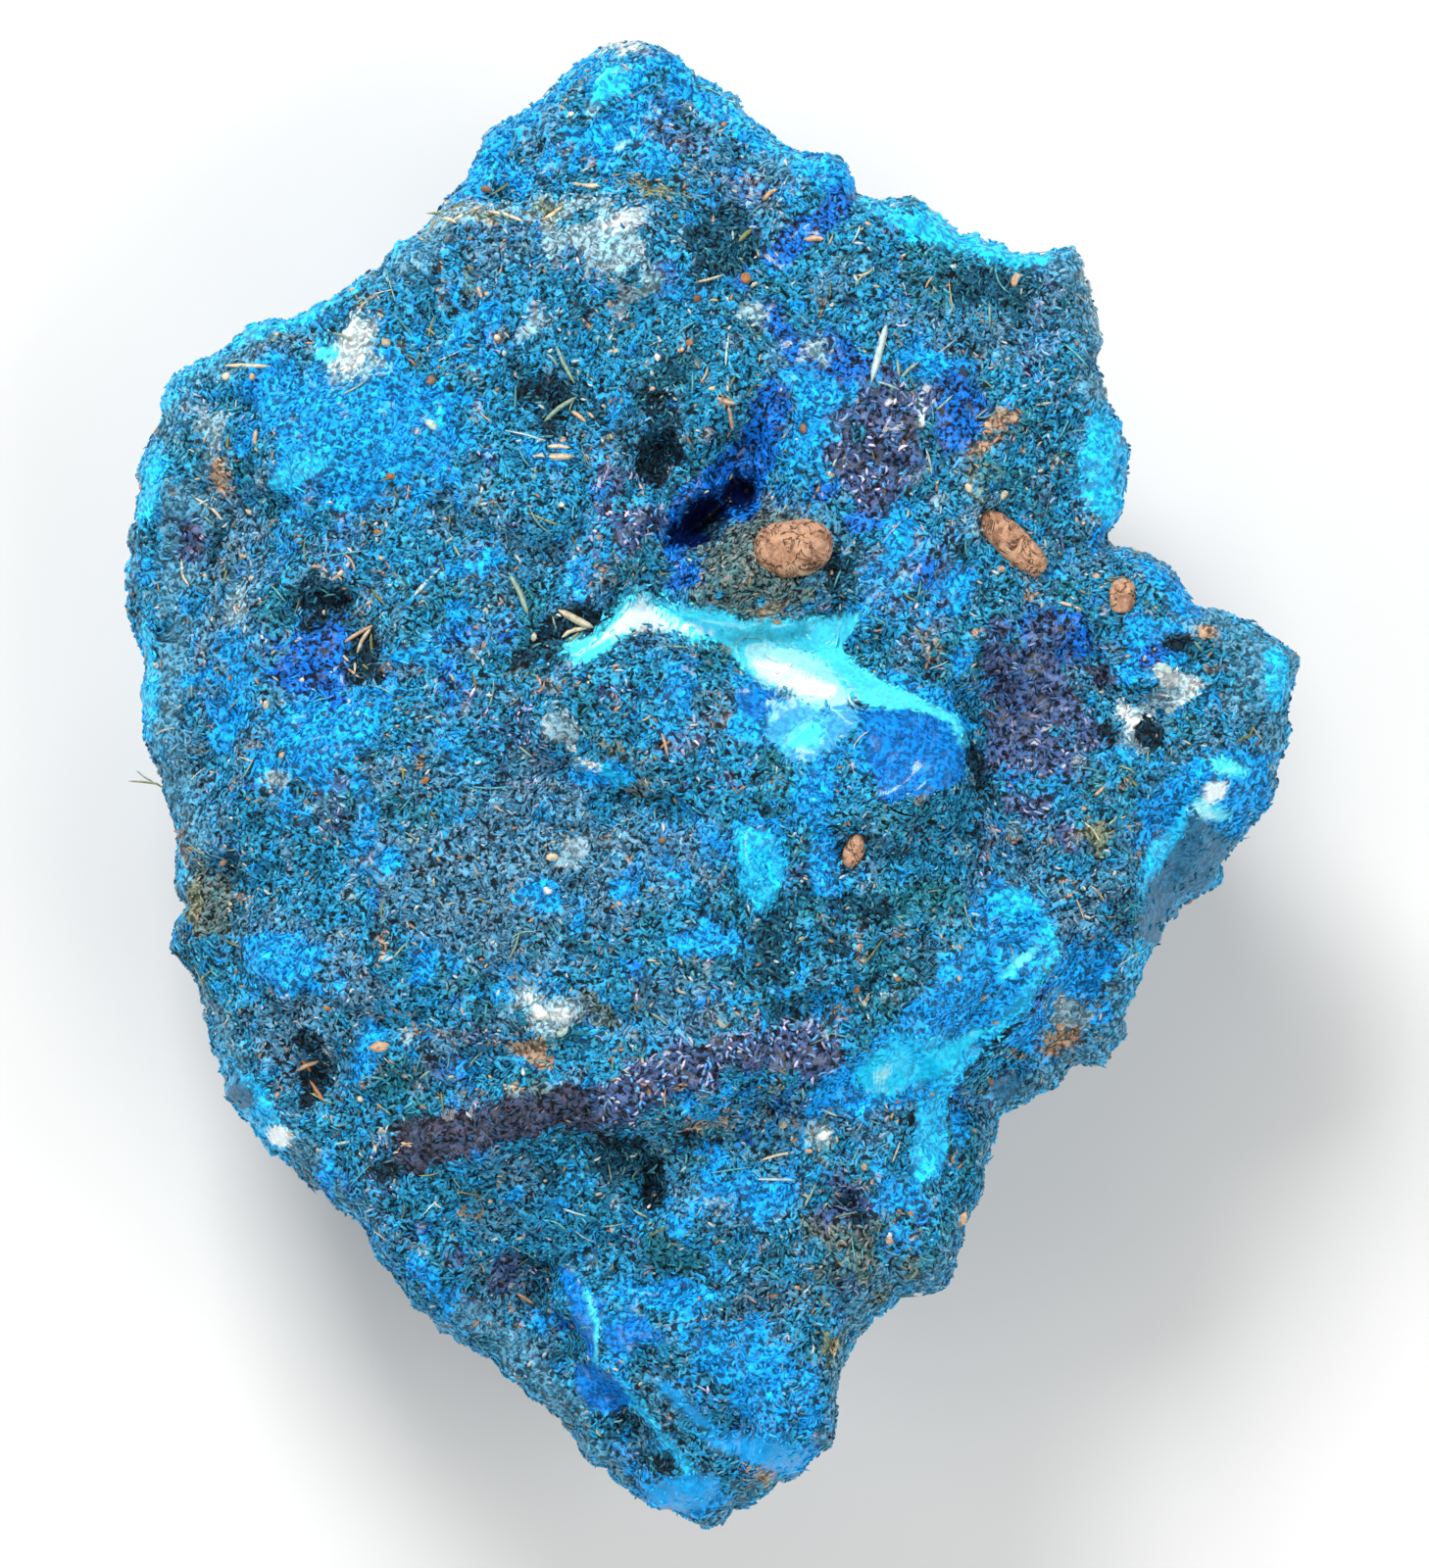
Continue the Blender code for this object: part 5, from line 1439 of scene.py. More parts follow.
class TURQUOISE_OT_stone(bpy.types.Operator):
    """Make the stone's crusted surface in place of the plain solid"""

    bl_idname = "turquoise.stone"
    bl_label = "Stone"

    def execute(self, context):
        surface = stone_surface(chosen_grounds(context.scene.turquoise))
        under, over = surface.under, surface.over
        stone = new_piece(
            "turquoise_crust", "turquoise", surface.places, [surface.quads], stone_material(),
            surface.corner_map, tone=under["ground"], over=over["ground"], cover=surface.cover,
            grit=blend_rows(under["grit"], over["grit"], surface.cover),
            gloss=blend_rows(under["gloss"], over["gloss"], surface.cover),
        )
        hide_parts("turquoise_stone")
        return {"FINISHED"}


# How many grains one piece holds, how many lie on what faces down, how far they stay off the
# floor, and the spread of their lengths, widths, tilts and bends.
GRAINS_PER_PIECE = 12000
SHARE_BELOW = 0.35
FLOOR_GAP = 1.5
GRAIN_LENGTH_SPREAD = 0.32
GRAIN_WIDTHS = (0.2, 0.36)
GRAIN_TILT = 0.22
GRAIN_BEND = 0.55
GRAIN_PROUD = 0.08


class TURQUOISE_OT_grains(bpy.types.Operator):
    """Strew the stone with tiny worm-like grains"""

    bl_idname = "turquoise.grains"
    bl_label = "Grains"

    def execute(self, context):
        settings = context.scene.turquoise
        rng = np.random.default_rng(settings.seed)
        surface = stone_surface(chosen_grounds(settings))
        facing_up = SHARE_BELOW + (1 - SHARE_BELOW) * smooth_step(surface.normals[:, 2] + 0.6)
        clear_of_floor = surface.places[:, 2] > FLOOR_GAP
        weight = grain_density(surface) * facing_up * clear_of_floor
        if not weight.any():
            raise RuntimeError("no place on the stone can hold a grain")
        places, normals, nearest = scatter(surface, settings.grains, weight, rng)
        length = settings.grain_length / MM * rng.lognormal(0, GRAIN_LENGTH_SPREAD, len(places))
        width = rng.uniform(*GRAIN_WIDTHS, len(places))
        heading = headings(normals, rng) + normals * rng.normal(0, GRAIN_TILT, (len(places), 1))
        heading /= np.linalg.norm(heading, axis=1)[:, None]
        bend = rng.normal(0, GRAIN_BEND, len(places))
        middle = places + normals * GRAIN_PROUD
        tones = grain_tones(surface, nearest, rng)
        material = grain_material()
        for number, start in enumerate(range(0, len(places), GRAINS_PER_PIECE)):
            part = slice(start, start + GRAINS_PER_PIECE)
            spots, faces = spindles(
                middle[part], normals[part], heading[part], length[part], width[part], bend[part]
            )
            new_piece(
                f"grains_{number + 1}", "turquoise", inside_box(spots), faces, material, spindle_map(faces),
                tone=np.repeat(tones[part], SPINDLE_POINTS, axis=0),
            )
        return {"FINISHED"}


class Straw(NamedTuple):
    """A bit of straw: its path seen from above, its width and its tone."""

    path: list
    width: float
    tone: str


TONES = {
    "cream": (0.62, 0.54, 0.38),
    "peach": (0.60, 0.38, 0.24),
    "orange": (0.42, 0.18, 0.07),
    "brown": (0.26, 0.14, 0.08),
    "sage": (0.28, 0.40, 0.30),
    "olive": (0.22, 0.24, 0.10),
    "teal": (0.10, 0.38, 0.42),
    "mist": (0.50, 0.66, 0.62),
    "white": (0.80, 0.84, 0.80),
}

STRAWS = [
    Straw([(-48.4, 42), (-46.5, 41.9), (-43.6, 41.7)], 0.45, "cream"),
    Straw([(-45, 35.4), (-45.1, 33.8)], 0.55, "peach"), Straw([(-47.9, 35), (-48, 33.6)], 0.4, "olive"),
    Straw([(-13.5, 60.2), (-12.4, 59.7), (-10.6, 59.7)], 0.65, "cream"),
    Straw([(-21.9, 57.2), (-20, 56.8), (-18.2, 56.1)], 0.45, "cream"),
    Straw([(-16.3, 56.2), (-15.2, 56.9), (-14.3, 57.7)], 0.45, "cream"),
    Straw([(-26.8, 56.8), (-25.6, 56.4), (-25, 56)], 0.45, "cream"),
    Straw([(-25.5, 56.2), (-24, 57), (-22.4, 57.7)], 0.35, "cream"),
    Straw([(-28.2, 57.4), (-26, 57.3), (-24, 58.2)], 0.3, "olive"),
    Straw([(-15.1, 43.8), (-14.2, 41.8), (-13.1, 39.8)], 0.45, "sage"),
    Straw([(-16.3, 36), (-14.8, 37.4), (-12.8, 38.6)], 0.45, "sage"),
    Straw([(-13.5, 37.2), (-12.6, 36.6), (-12, 36)], 0.5, "peach"),
    Straw([(-17.2, 32.5), (-15.2, 32.4), (-13.1, 32.5)], 0.75, "cream"),
    Straw([(-15.8, 33.5), (-14.6, 33.5), (-13.5, 33.4)], 0.55, "cream"),
    Straw([(-20.1, 35.2), (-17.8, 34.7), (-15.7, 34)], 0.22, "mist"),
    Straw([(-19.3, 34.3), (-16.4, 34.5), (-13.3, 34.8)], 0.2, "teal"),
    Straw([(-11.9, 40.8), (-11.2, 40)], 0.3, "sage"), Straw([(-11.8, 37), (-11.2, 36.4)], 0.35, "peach"),
    Straw([(-12.3, 46.2), (-11.5, 45.2)], 0.45, "peach"),
    Straw([(-22.8, 49.6), (-22.4, 48.4)], 0.5, "peach"),
    Straw([(-51.8, 29), (-50.1, 28), (-49.1, 27), (-48.6, 26)], 0.35, "cream"),
    Straw([(-53.2, 22.8), (-53, 21), (-52.3, 20)], 0.35, "cream"),
    Straw([(-48.3, 21.7), (-48.7, 20)], 0.25, "olive"), Straw([(-47, 23), (-46.2, 22.8)], 0.4, "peach"),
    Straw([(-37.3, 20.2), (-36.2, 21), (-35.3, 22)], 0.5, "cream"),
    Straw([(-39.4, 21.7), (-38.2, 21.6), (-37.6, 21)], 0.4, "peach"),
    Straw([(-29.1, 18.6), (-27.8, 20), (-26.4, 21.4)], 0.45, "mist"),
    Straw([(-19.6, 21), (-18.4, 18.8), (-17.6, 16.5)], 0.6, "sage"),
    Straw([(-36.3, 14), (-34.3, 15.2), (-32.9, 15.8)], 0.4, "peach"),
    Straw([(-34.8, 12.8), (-34.2, 14.4), (-33.3, 15.5)], 0.4, "cream"),
    Straw([(-33.3, 15), (-33.3, 13.8), (-33.1, 12.8)], 0.35, "olive"),
    Straw([(-35.7, 11.5), (-34.5, 10.6)], 0.3, "peach"), Straw([(-35, 12.4), (-34.9, 11)], 0.3, "cream"),
    Straw([(-36.3, 12.9), (-35.6, 12.2)], 0.3, "cream"),
    Straw([(-34.2, 11.9), (-33.6, 11.4)], 0.3, "olive"),
    Straw([(-14.6, 17.2), (-12.8, 16.2), (-11.1, 15.4)], 0.75, "cream"),
    Straw([(-14.3, 14.5), (-13.4, 15.2), (-11.4, 15.6)], 0.5, "cream"),
    Straw([(-13.6, 14), (-12.6, 15)], 0.3, "olive"), Straw([(-15.2, 16.6), (-14.8, 15)], 0.25, "sage"),
    Straw([(-24.5, 24), (-23.3, 24.8), (-22, 25.2)], 0.22, "teal"),
    Straw([(-38.3, 22.5), (-36, 22.9), (-33.8, 23.2)], 0.22, "teal"),
    Straw([(-59, 0.3), (-57.2, 0.2), (-55.8, 0), (-54.8, -0.8)], 0.22, "olive"),
    Straw([(-58.2, 1.4), (-57.2, 0.6), (-56.4, 0.2)], 0.18, "sage"),
    Straw([(18, 46), (17.2, 43), (16.4, 40)], 0.75, "mist"),
    Straw([(18.9, 42.8), (19.1, 41.6), (19.2, 40.5)], 0.35, "sage"),
    Straw([(19.3, 40.4), (20.2, 41.4), (21.3, 42.2)], 0.35, "sage"),
    Straw([(2.2, 44.6), (2, 43), (1.9, 41.5)], 0.28, "mist"),
    Straw([(2.1, 40.5), (2.1, 39.8), (2.1, 38.9)], 0.35, "cream"),
    Straw([(1.1, 38.4), (2, 38), (3, 37.9)], 0.5, "peach"),
    Straw([(2.2, 37.6), (2.4, 36.4), (2.6, 35.3)], 0.5, "peach"),
    Straw([(9.7, 54.4), (10.7, 54.5), (11.7, 54.4)], 0.6, "peach"),
    Straw([(0.7, 57), (0.6, 55.6)], 0.4, "peach"),
    Straw([(3.2, 54.2), (3.9, 55), (4.6, 55.6)], 0.5, "olive"),
    Straw([(5.7, 58.5), (6.3, 59.2), (7.1, 59.6)], 0.5, "peach"),
    Straw([(-3.4, 56.3), (-2.3, 56.8)], 0.45, "olive"), Straw([(-2.9, 43), (-2.2, 43.3)], 0.5, "peach"),
    Straw([(-2.1, 34.9), (-1.4, 33.3)], 0.4, "brown"), Straw([(-6.7, 30), (-6.3, 29)], 0.4, "peach"),
    Straw([(35.2, 18.2), (36.4, 17.9), (37.5, 17.4)], 0.4, "cream"),
    Straw([(-4.4, 5), (-4, 3.8), (-3.8, 2.6)], 0.35, "peach"),
    Straw([(-4.6, 3.5), (-3.5, 4.3)], 0.3, "orange"),
    Straw([(-6.3, -15), (-5.2, -16.6), (-3.8, -18.5)], 0.22, "teal"),
    Straw([(-41.3, -28.8), (-40.2, -28.2), (-38.9, -27.8)], 0.55, "peach"),
    Straw([(-39.9, -29.8), (-39.1, -31), (-38.3, -32)], 0.45, "orange"),
    Straw([(-40.6, -27.6), (-39.8, -29)], 0.4, "orange"),
    Straw([(-38.5, -26.4), (-37.6, -27.4)], 0.3, "cream"),
    Straw([(-30.5, -35.8), (-29.4, -36.2)], 0.3, "cream"),
    Straw([(-19.3, -51.6), (-17.5, -52.8)], 0.4, "peach"),
    Straw([(11.6, -54.6), (12.3, -56)], 0.35, "olive"),
    Straw([(13.2, -55.4), (12.7, -57.6)], 0.3, "cream"),
    Straw([(38.8, -1.2), (39.9, -0.2)], 0.4, "peach"), Straw([(42.5, 0.4), (43.4, -0.6)], 0.35, "olive"),
    Straw([(37.4, -3.6), (38.6, -4.6), (39.4, -6)], 0.3, "cream"),
]

# The loose fibres: their tones with each one's share, the spread of their lengths, bends and tilts,
# how far they stand off the stone, and their widths.
FIBRE_TONES = ["teal", "sage", "olive", "cream", "peach", "mist"]
FIBRE_SHARES = [0.34, 0.24, 0.20, 0.08, 0.06, 0.08]
FIBRE_LENGTH_SPREAD = 0.35
FIBRE_BEND = 0.25
FIBRE_TILT = 0.06
FIBRE_PROUD = 0.22
FIBRE_WIDTHS = (0.12, 0.30)

# Every bit of straw or fibre: its stations, its thickness as a share of its width, how far it
# narrows, and for a placed one the share of the ground under it that it clears and by how much.
STRAW_STATIONS = 7
STRAW_FLATNESS = 0.5
STRAW_TAPER = 0.82
STRAW_CLEARS = 70
STRAW_PROUD = 0.25


def face_level(surface, x, y):
    """The height of the stone's face at each place: the mean of the four grid points nearest."""
    upper = surface.places[: (GRID_CELLS + 1) ** 2]
    apart = (upper[:, 0] - x[:, None]) ** 2 + (upper[:, 1] - y[:, None]) ** 2
    nearest = np.argpartition(apart, 4, axis=1)[:, :4]
    return upper[nearest, 2].mean(axis=1)


def straw_line(surface, straw):
    """Even stations along a straw's path, level with the ground under it on the whole: the best
    straight slope through the ground's heights, lifted till it clears most of them."""
    path = np.array(straw.path)
    walked = np.concatenate([[0], np.cumsum(np.hypot(*np.diff(path, axis=0).T))])
    share = np.linspace(0, 1, STRAW_STATIONS)
    x = np.interp(share * walked[-1], walked, path[:, 0])
    y = np.interp(share * walked[-1], walked, path[:, 1])
    level = face_level(surface, x, y)
    slope = np.polyval(np.polyfit(share, level, 1), share)
    lift = np.percentile(level - slope, STRAW_CLEARS)
    return np.stack([x, y, slope + lift + straw.width * STRAW_PROUD], axis=1)


def strips(axis, normal, width, thickness):
    """Flat four-sided blades: at each station of the axis stands a rhombus of the width and the
    thickness, which narrows to both ends by the fourth power. Returns places and faces."""
    count, stations, _ = axis.shape
    along = np.gradient(axis, axis=1)
    along /= np.linalg.norm(along, axis=2)[..., None]
    side = np.cross(normal, along)
    side /= np.linalg.norm(side, axis=2)[..., None]
    up = np.cross(along, side)
    share = np.linspace(-1, 1, stations)
    taper = (1 - STRAW_TAPER * share**4)[None, :, None]
    across = side * (width[:, None, None] / 2 * taper)
    over = up * (thickness[:, None, None] / 2 * taper)
    places = axis[:, :, None] + np.stack([across, over, -across, -over], axis=2)
    step, corner = np.arange(stations - 1)[:, None], np.arange(4)[None]
    after = (corner + 1) % 4
    first, second = step * 4, step * 4 + 4
    sides = np.stack([first + corner, first + after, second + after, second + corner], axis=-1)
    last = (stations - 1) * 4
    ends = np.array([[3, 2, 1, 0], [last, last + 1, last + 2, last + 3]])
    one = np.concatenate([sides.reshape(-1, 4), ends])
    faces = (np.arange(count)[:, None, None] * stations * 4 + one[None]).reshape(-1, 4)
    return places.reshape(-1, 3), faces


class Chip(NamedTuple):
    """A small flat stone chip: its middle, length, width, turn and tone."""

    x: float
    y: float
    length: float
    width: float
    turn: float
    tone: str


CHIPS = [
    Chip(-48.1, 40.9, 1.2, 0.9, 0, "cream"), Chip(-45.4, 40.8, 1.0, 0.8, 70, "peach"),
    Chip(-27.2, 35.6, 1.9, 0.9, -40, "mist"), Chip(-21.8, 48.8, 0.9, 0.7, 0, "peach"),
    Chip(-20.8, 44.4, 0.9, 0.7, -20, "cream"), Chip(-22.1, 59.6, 1.4, 0.9, -20, "brown"),
    Chip(-14.3, 34.2, 0.9, 0.8, 0, "peach"), Chip(-43.0, 45.0, 0.6, 0.5, 0, "cream"),
    Chip(-38.0, 20.8, 0.8, 0.6, 0, "cream"), Chip(-17.1, 14.6, 1.0, 0.7, 80, "cream"),
    Chip(-27.9, 0.4, 1.4, 0.8, 30, "orange"), Chip(-30.0, 1.4, 1.2, 0.4, -20, "peach"),
    Chip(-32.7, 25.0, 0.8, 0.6, 0, "orange"), Chip(-47.8, 10.7, 0.8, 0.5, 60, "orange"),
    Chip(-55.8, 12.0, 1.0, 0.6, -40, "peach"), Chip(-33.5, 18.0, 0.7, 0.4, 20, "peach"),
    Chip(3.9, 50.5, 1.3, 1.2, 0, "orange"), Chip(4.7, 49.8, 1.0, 0.5, 40, "cream"),
    Chip(31.0, 50.6, 1.7, 0.9, 62, "peach"), Chip(-1.7, 43.9, 1.0, 0.7, 0, "orange"),
    Chip(26.2, 29.5, 1.2, 0.9, -70, "cream"), Chip(7.1, 16.3, 1.2, 1.0, 0, "peach"),
    Chip(49.6, 15.0, 1.3, 1.0, -40, "peach"), Chip(1.7, 66.3, 0.7, 0.7, 0, "orange"),
    Chip(42.8, 6.2, 1.6, 1.0, 40, "white"), Chip(44.4, 6.6, 1.0, 0.6, -60, "white"),
    Chip(45.6, 11.5, 2.4, 1.1, -20, "mist"), Chip(11.8, -35.0, 1.8, 1.0, 20, "white"),
    Chip(18.2, -45.6, 1.3, 1.0, -30, "peach"), Chip(6.7, -51.0, 0.9, 0.8, 0, "orange"),
    Chip(25.6, -43.9, 1.9, 1.3, 60, "peach"), Chip(-18.6, -52.2, 0.9, 0.6, -30, "peach"),
    Chip(-15.8, -53.3, 0.8, 0.6, 0, "peach"), Chip(35.7, -24.4, 1.2, 1.0, 30, "peach"),
    Chip(-32.4, -26.0, 2.2, 1.4, 10, "peach"), Chip(-16.4, -22.6, 2.2, 1.4, -30, "white"),
    Chip(-14.2, -24.4, 1.8, 1.2, 50, "mist"), Chip(-15.2, -7.2, 1.4, 1.0, 20, "cream"),
    Chip(-37.8, -22.3, 0.9, 0.7, 0, "orange"), Chip(10.2, -36.6, 1.0, 0.7, 0, "peach"),
    Chip(-34.6, -31.5, 0.9, 0.7, 0, "cream"), Chip(18.8, 38.2, 0.9, 0.35, 80, "white"),
]
CHIP_TONES = ["peach", "cream", "orange", "brown", "mist", "white"]
CHIP_SHARES = [0.31, 0.24, 0.14, 0.16, 0.12, 0.03]

# How far a placed and a loose chip stand off the stone, the logarithm's middle and spread of a
# loose one's length, and the least and most that its width is of that.
CHIP_PROUD = 0.1
LOOSE_CHIP_PROUD = 0.05
LOOSE_CHIP_LENGTH = (-0.25, 0.3)
LOOSE_CHIP_WIDTH = (0.5, 0.9)

# A chip's three rings: their corners, heights, reach and unevenness; its two ends' heights; and
# its thickness as a share of its width.
CHIP_CORNERS = 8
CHIP_HEIGHTS = np.array([-0.55, 0.1, 0.6])
CHIP_REACH = np.array([0.75, 1.0, 0.62])
CHIP_UNEVEN = (0.72, 1.12)
CHIP_SHIFT = 0.12
CHIP_ENDS = np.array([-0.8, 0.85])
CHIP_THICKNESS = 0.32
CHIP_POINTS = 3 * CHIP_CORNERS + 2


def lumps(middle, normal, heading, length, width, rng):
    """Low angular lumps: eight directions round the heading at three heights, each pushed in or
    out at random, closed by a point above and one below. Returns places and faces."""
    count = len(middle)
    side = np.cross(normal, heading)
    turn = np.linspace(0, 2 * np.pi, CHIP_CORNERS, endpoint=False)
    reach = CHIP_REACH[None, :, None] * rng.uniform(*CHIP_UNEVEN, (count, 3, CHIP_CORNERS))
    along = (reach * np.cos(turn))[..., None] * (heading * length[:, None] / 2)[:, None, None]
    across = (reach * np.sin(turn))[..., None] * (side * width[:, None] / 2)[:, None, None]
    up = normal * (width[:, None] * CHIP_THICKNESS)
    shift = rng.uniform(-CHIP_SHIFT, CHIP_SHIFT, (count, 3, CHIP_CORNERS))
    rise = (CHIP_HEIGHTS[None, :, None] + shift)[..., None]
    ring = middle[:, None, None] + along + across + rise * up[:, None, None]
    ends = middle[:, None] + CHIP_ENDS[None, :, None] * up[:, None]
    places = np.concatenate([ring.reshape(count, -1, 3), ends], axis=1)
    index = np.arange(3 * CHIP_CORNERS).reshape(3, CHIP_CORNERS)
    quads, closing = ring_faces(index, CHIP_POINTS - 2, CHIP_POINTS - 1)
    first = np.arange(count)[:, None, None] * CHIP_POINTS
    faces = [(first + quads[None]).reshape(-1, 4), (first + closing[None]).reshape(-1, 3)]
    return places.reshape(-1, 3), faces


def drawn_tones(names, shares, count, rng):
    """One of the named tones for each piece, drawn by its share, and made lighter or darker."""
    tones = np.array([TONES[name] for name in names])[rng.choice(len(names), count, p=shares)]
    return tones * rng.uniform(0.7, 1.15, (count, 1))


def loose_weight(surface):
    """Where loose matter gathers: on what faces up, on crust rather than glaze, in drifts."""
    drifts = smooth_step(rough(surface.places, 14, seed=401, octaves=2) + 0.5)
    return grain_density(surface) * drifts * smooth_step(surface.normals[:, 2] * 1.5 + 0.2)


class TURQUOISE_OT_straws(bpy.types.Operator):
    """Lay the bits of straw and the loose fibres"""

    bl_idname = "turquoise.straws"
    bl_label = "Straws"

    def execute(self, context):
        settings = context.scene.turquoise
        rng = np.random.default_rng(settings.seed + 1)
        surface = stone_surface(chosen_grounds(settings))
        count = settings.fibres
        placed = np.array([straw_line(surface, straw) for straw in STRAWS])
        up = np.zeros_like(placed) + (0, 0, 1)
        width = np.array([straw.width for straw in STRAWS])
        tones = np.array([TONES[straw.tone] for straw in STRAWS])

        middle, normal, _ = scatter(surface, count, loose_weight(surface), rng)
        heading = headings(normal, rng)
        side = np.cross(normal, heading)
        share = np.linspace(-0.5, 0.5, STRAW_STATIONS)[None, :, None]
        length = settings.fibre_length / MM * rng.lognormal(0, FIBRE_LENGTH_SPREAD, count)[:, None, None]
        bend = rng.normal(0, FIBRE_BEND, count)[:, None, None]
        tilt = rng.normal(0, FIBRE_TILT, count)[:, None, None]
        loose = middle[:, None] + heading[:, None] * share * length
        loose = loose + side[:, None] * share**2 * bend * length
        loose = loose + normal[:, None] * (FIBRE_PROUD + tilt * share * length)
        axis = np.concatenate([placed, loose])
        normals = np.concatenate([up, np.repeat(normal[:, None], STRAW_STATIONS, axis=1)])
        width = np.concatenate([width, rng.uniform(*FIBRE_WIDTHS, count)])
        tones = np.concatenate([tones, drawn_tones(FIBRE_TONES, FIBRE_SHARES, count, rng)])
        places, faces = strips(axis, normals, width, width * STRAW_FLATNESS)
        new_piece(
            "straw_bits", "straw", inside_box(places), [faces], straw_material(),
            tone=np.repeat(tones, 4 * STRAW_STATIONS, axis=0),
        )
        return {"FINISHED"}


class TURQUOISE_OT_chips(bpy.types.Operator):
    """Bed the small stone chips"""

    bl_idname = "turquoise.chips"
    bl_label = "Chips"

    def execute(self, context):
        settings = context.scene.turquoise
        rng = np.random.default_rng(settings.seed + 2)
        surface = stone_surface(chosen_grounds(settings))
        count = settings.chips
        x, y = np.array([(chip.x, chip.y) for chip in CHIPS]).T
        placed = np.stack([x, y, face_level(surface, x, y) + CHIP_PROUD], axis=1)
        turn = np.radians([chip.turn for chip in CHIPS])
        heading = np.stack([np.cos(turn), np.sin(turn), np.zeros(len(turn))], axis=1)
        up = np.zeros_like(placed) + (0, 0, 1)
        middle, normal, _ = scatter(surface, count, loose_weight(surface), rng)
        middle = np.concatenate([placed, middle + normal * LOOSE_CHIP_PROUD])
        heading = np.concatenate([heading, headings(normal, rng)])
        normal = np.concatenate([up, normal])
        loose_length = rng.lognormal(*LOOSE_CHIP_LENGTH, count)
        loose_width = loose_length * rng.uniform(*LOOSE_CHIP_WIDTH, count)
        length = np.concatenate([[chip.length for chip in CHIPS], loose_length])
        width = np.concatenate([[chip.width for chip in CHIPS], loose_width])
        places, faces = lumps(middle, normal, heading, length, width, rng)
        tones = np.array([TONES[chip.tone] for chip in CHIPS])
        tones = np.concatenate([tones, drawn_tones(CHIP_TONES, CHIP_SHARES, count, rng)])
        new_piece(
            "stone_chips", "brown_pebble", inside_box(places), faces, chip_material(),
            tone=np.repeat(tones, CHIP_POINTS, axis=0),
        )
        return {"FINISHED"}


# A pebble's grid, how much smaller than its solid it is, and its pits.
PEBBLE_LONGITUDES = 40
PEBBLE_LATITUDES = 20
PEBBLE_SHRINK = 0.12
PEBBLE_PIT = 0.10
PEBBLE_PIT_CELL = 0.35


def ball_grid(pebble):
    """The pebble's solid on a grid of longitude and latitude, pitted a little; one point closes
    each pole."""
    turn = np.linspace(0, 2 * np.pi, PEBBLE_LONGITUDES, endpoint=False)
    rise = np.linspace(-np.pi / 2, np.pi / 2, PEBBLE_LATITUDES + 1)[1:-1]
    rise, turn = np.meshgrid(rise, turn, indexing="ij")
    ring = np.stack([np.cos(turn) * np.cos(rise), np.sin(turn) * np.cos(rise), np.sin(rise)], axis=-1)
    directions = np.concatenate([ring.reshape(-1, 3), [(0, 0, -1), (0, 0, 1)]])
    pits = PEBBLE_PIT * rough(directions, PEBBLE_PIT_CELL, pebble.seed + 5, 2)
    places = pebble_places(directions, pebble, (-PEBBLE_SHRINK - pits)[:, None])
    low, high = (np.array(corner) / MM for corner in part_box(pebble.name))
    faces = ring_faces(np.arange(rise.size).reshape(rise.shape), rise.size, rise.size + 1)
    return np.clip(places, low, high), faces


class TURQUOISE_OT_pebbles(bpy.types.Operator):
    """Make each bedded pebble's finer surface in place of its plain solid"""

    bl_idname = "turquoise.pebbles"
    bl_label = "Pebbles"

    def execute(self, context):
        material = pebble_material(context.scene.turquoise.pebble)
        for pebble in PEBBLES:
            places, faces = ball_grid(pebble)
            piece = new_piece(pebble.name + "_surface", "brown_pebble", places, faces, material)
            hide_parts(pebble.name)
        return {"FINISHED"}


# The floor's side in metres, its lines each way, and how its border bends down.
FLOOR_SIZE = 6.0
FLOOR_LINES = 13
FLOOR_BEND = 0.3
FLOOR_BEND_POWER = 8

# The square soft lights: name, place and side in metres, power in watts. All look at one place.
LIGHTS = [
    ("key", (-0.16, 0.46, 0.44), 0.22, 4.3),
    ("fill", (0.42, -0.20, 0.50), 0.50, 3.1),
    ("side", (-0.52, -0.20, 0.36), 0.45, 1.8),
]
LIT_PLACE = (0, 0, 0.03)
ROOM_LIGHT = 0.22

# The camera: the rim's height, the width seen at it, how far above it the camera stands, and the
# place straight under it. Nothing nearer than the last length, in metres, is seen.
RIM_LEVEL = 37.0
VIEW_WIDTH = 144.2
CAMERA_ABOVE = 560.0
AIM = (0.8, 0.0)
NEAREST_SEEN = 0.01


def add_floor():
    """A level square whose far border bends down a little, as a grid of two parameters."""
    line = np.linspace(-0.5, 0.5, FLOOR_LINES)
    u, v = np.meshgrid(line, line, indexing="ij")
    drop = -FLOOR_BEND * np.maximum(np.abs(u), np.abs(v)) ** FLOOR_BEND_POWER
    places = np.stack([u, v, drop], axis=-1).reshape(-1, 3) * FLOOR_SIZE / MM
    index = np.arange(u.size).reshape(u.shape)
    floor = new_object("floor", places, [cell_corners(index)], floor_material())


def add_room_light():
    """Even white light from all round."""
    world = bpy.data.worlds.new("soft_room")
    world.use_nodes = True
    background = world.node_tree.nodes["Background"]
    background.inputs["Color"].default_value = (1.0, 1.0, 1.0, 1)
    background.inputs["Strength"].default_value = ROOM_LIGHT
    bpy.context.scene.world = world


def add_light(name, place, side, watts):
    """A square soft light, turned to the middle of the stone."""
    data = bpy.data.lights.new(name, "AREA")
    data.size = side
    data.energy = watts
    lamp = bpy.data.objects.new(name, data)
    bpy.context.scene.collection.objects.link(lamp)
    lamp.location = place
    toward = Vector(LIT_PLACE) - lamp.location
    lamp.rotation_euler = toward.to_track_quat("-Z", "Y").to_euler()


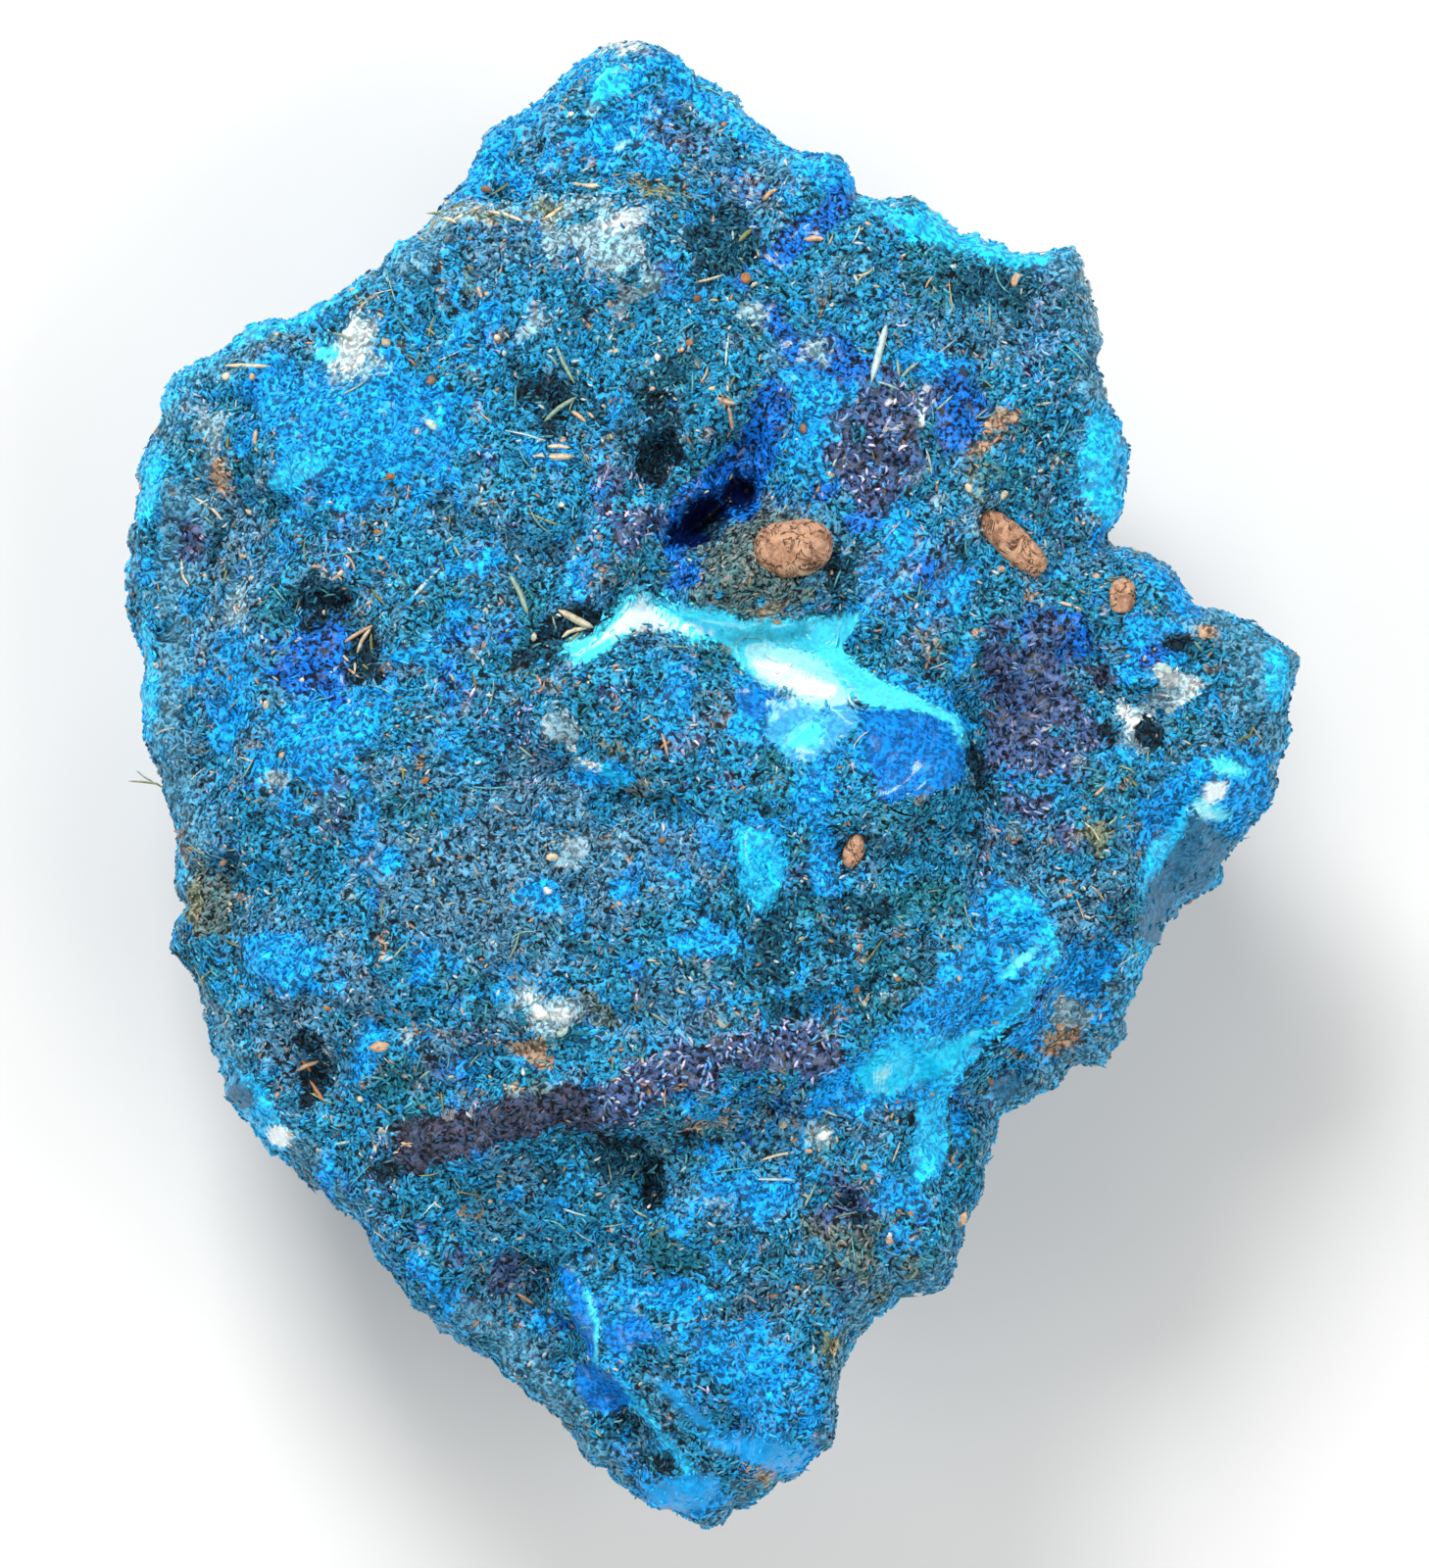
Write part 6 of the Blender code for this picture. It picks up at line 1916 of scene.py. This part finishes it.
def add_camera():
    """Looks straight down on the face, at an angle that takes in the rim's plane to VIEW_WIDTH."""
    data = bpy.data.cameras.new("camera")
    data.sensor_fit = "HORIZONTAL"
    data.angle_x = 2 * np.arctan(VIEW_WIDTH / 2 / CAMERA_ABOVE)
    data.clip_start = NEAREST_SEEN
    camera = bpy.data.objects.new("camera", data)
    bpy.context.scene.collection.objects.link(camera)
    camera.location = (AIM[0] * MM, AIM[1] * MM, (RIM_LEVEL + CAMERA_ABOVE) * MM)
    bpy.context.scene.camera = camera
    bpy.context.scene.view_settings.view_transform = "Standard"


class TURQUOISE_OT_stage(bpy.types.Operator):
    """Set up the floor, the soft lights and the camera over the face"""

    bl_idname = "turquoise.stage"
    bl_label = "Stage"

    def execute(self, context):
        add_floor()
        add_room_light()
        for light in LIGHTS:
            add_light(*light)
        add_camera()
        return {"FINISHED"}


class TURQUOISE_PT_panel(bpy.types.Panel):
    """Lists the settings and the steps in the sidebar"""

    bl_idname = "TURQUOISE_PT_panel"
    bl_label = "Turquoise"
    bl_space_type = "VIEW_3D"
    bl_region_type = "UI"
    bl_category = "Turquoise"

    def draw(self, context):
        """Shows each setting, then a button for each step."""
        settings = context.scene.turquoise
        for name in TurquoiseSettings.__annotations__:
            self.layout.prop(settings, name)
        for step in STEPS:
            self.layout.operator(step.bl_idname)


STEPS = (
    TURQUOISE_OT_stone, TURQUOISE_OT_pebbles, TURQUOISE_OT_grains, TURQUOISE_OT_straws,
    TURQUOISE_OT_chips, TURQUOISE_OT_stage,
)
CLASSES = (TurquoiseSettings, *STEPS, TURQUOISE_PT_panel)


def register():
    """Adds the settings, the steps and the panel."""
    for made in CLASSES:
        bpy.utils.register_class(made)
    bpy.types.Scene.turquoise = bpy.props.PointerProperty(type=TurquoiseSettings)


def unregister():
    """Takes them away again."""
    del bpy.types.Scene.turquoise
    for made in reversed(CLASSES):
        bpy.utils.unregister_class(made)


def main():
    """Makes every piece and the stage."""
    register()
    bpy.ops.turquoise.stone()
    bpy.ops.turquoise.pebbles()
    bpy.ops.turquoise.grains()
    bpy.ops.turquoise.straws()
    bpy.ops.turquoise.chips()
    bpy.ops.turquoise.stage()


if __name__ == "__main__":
    main()
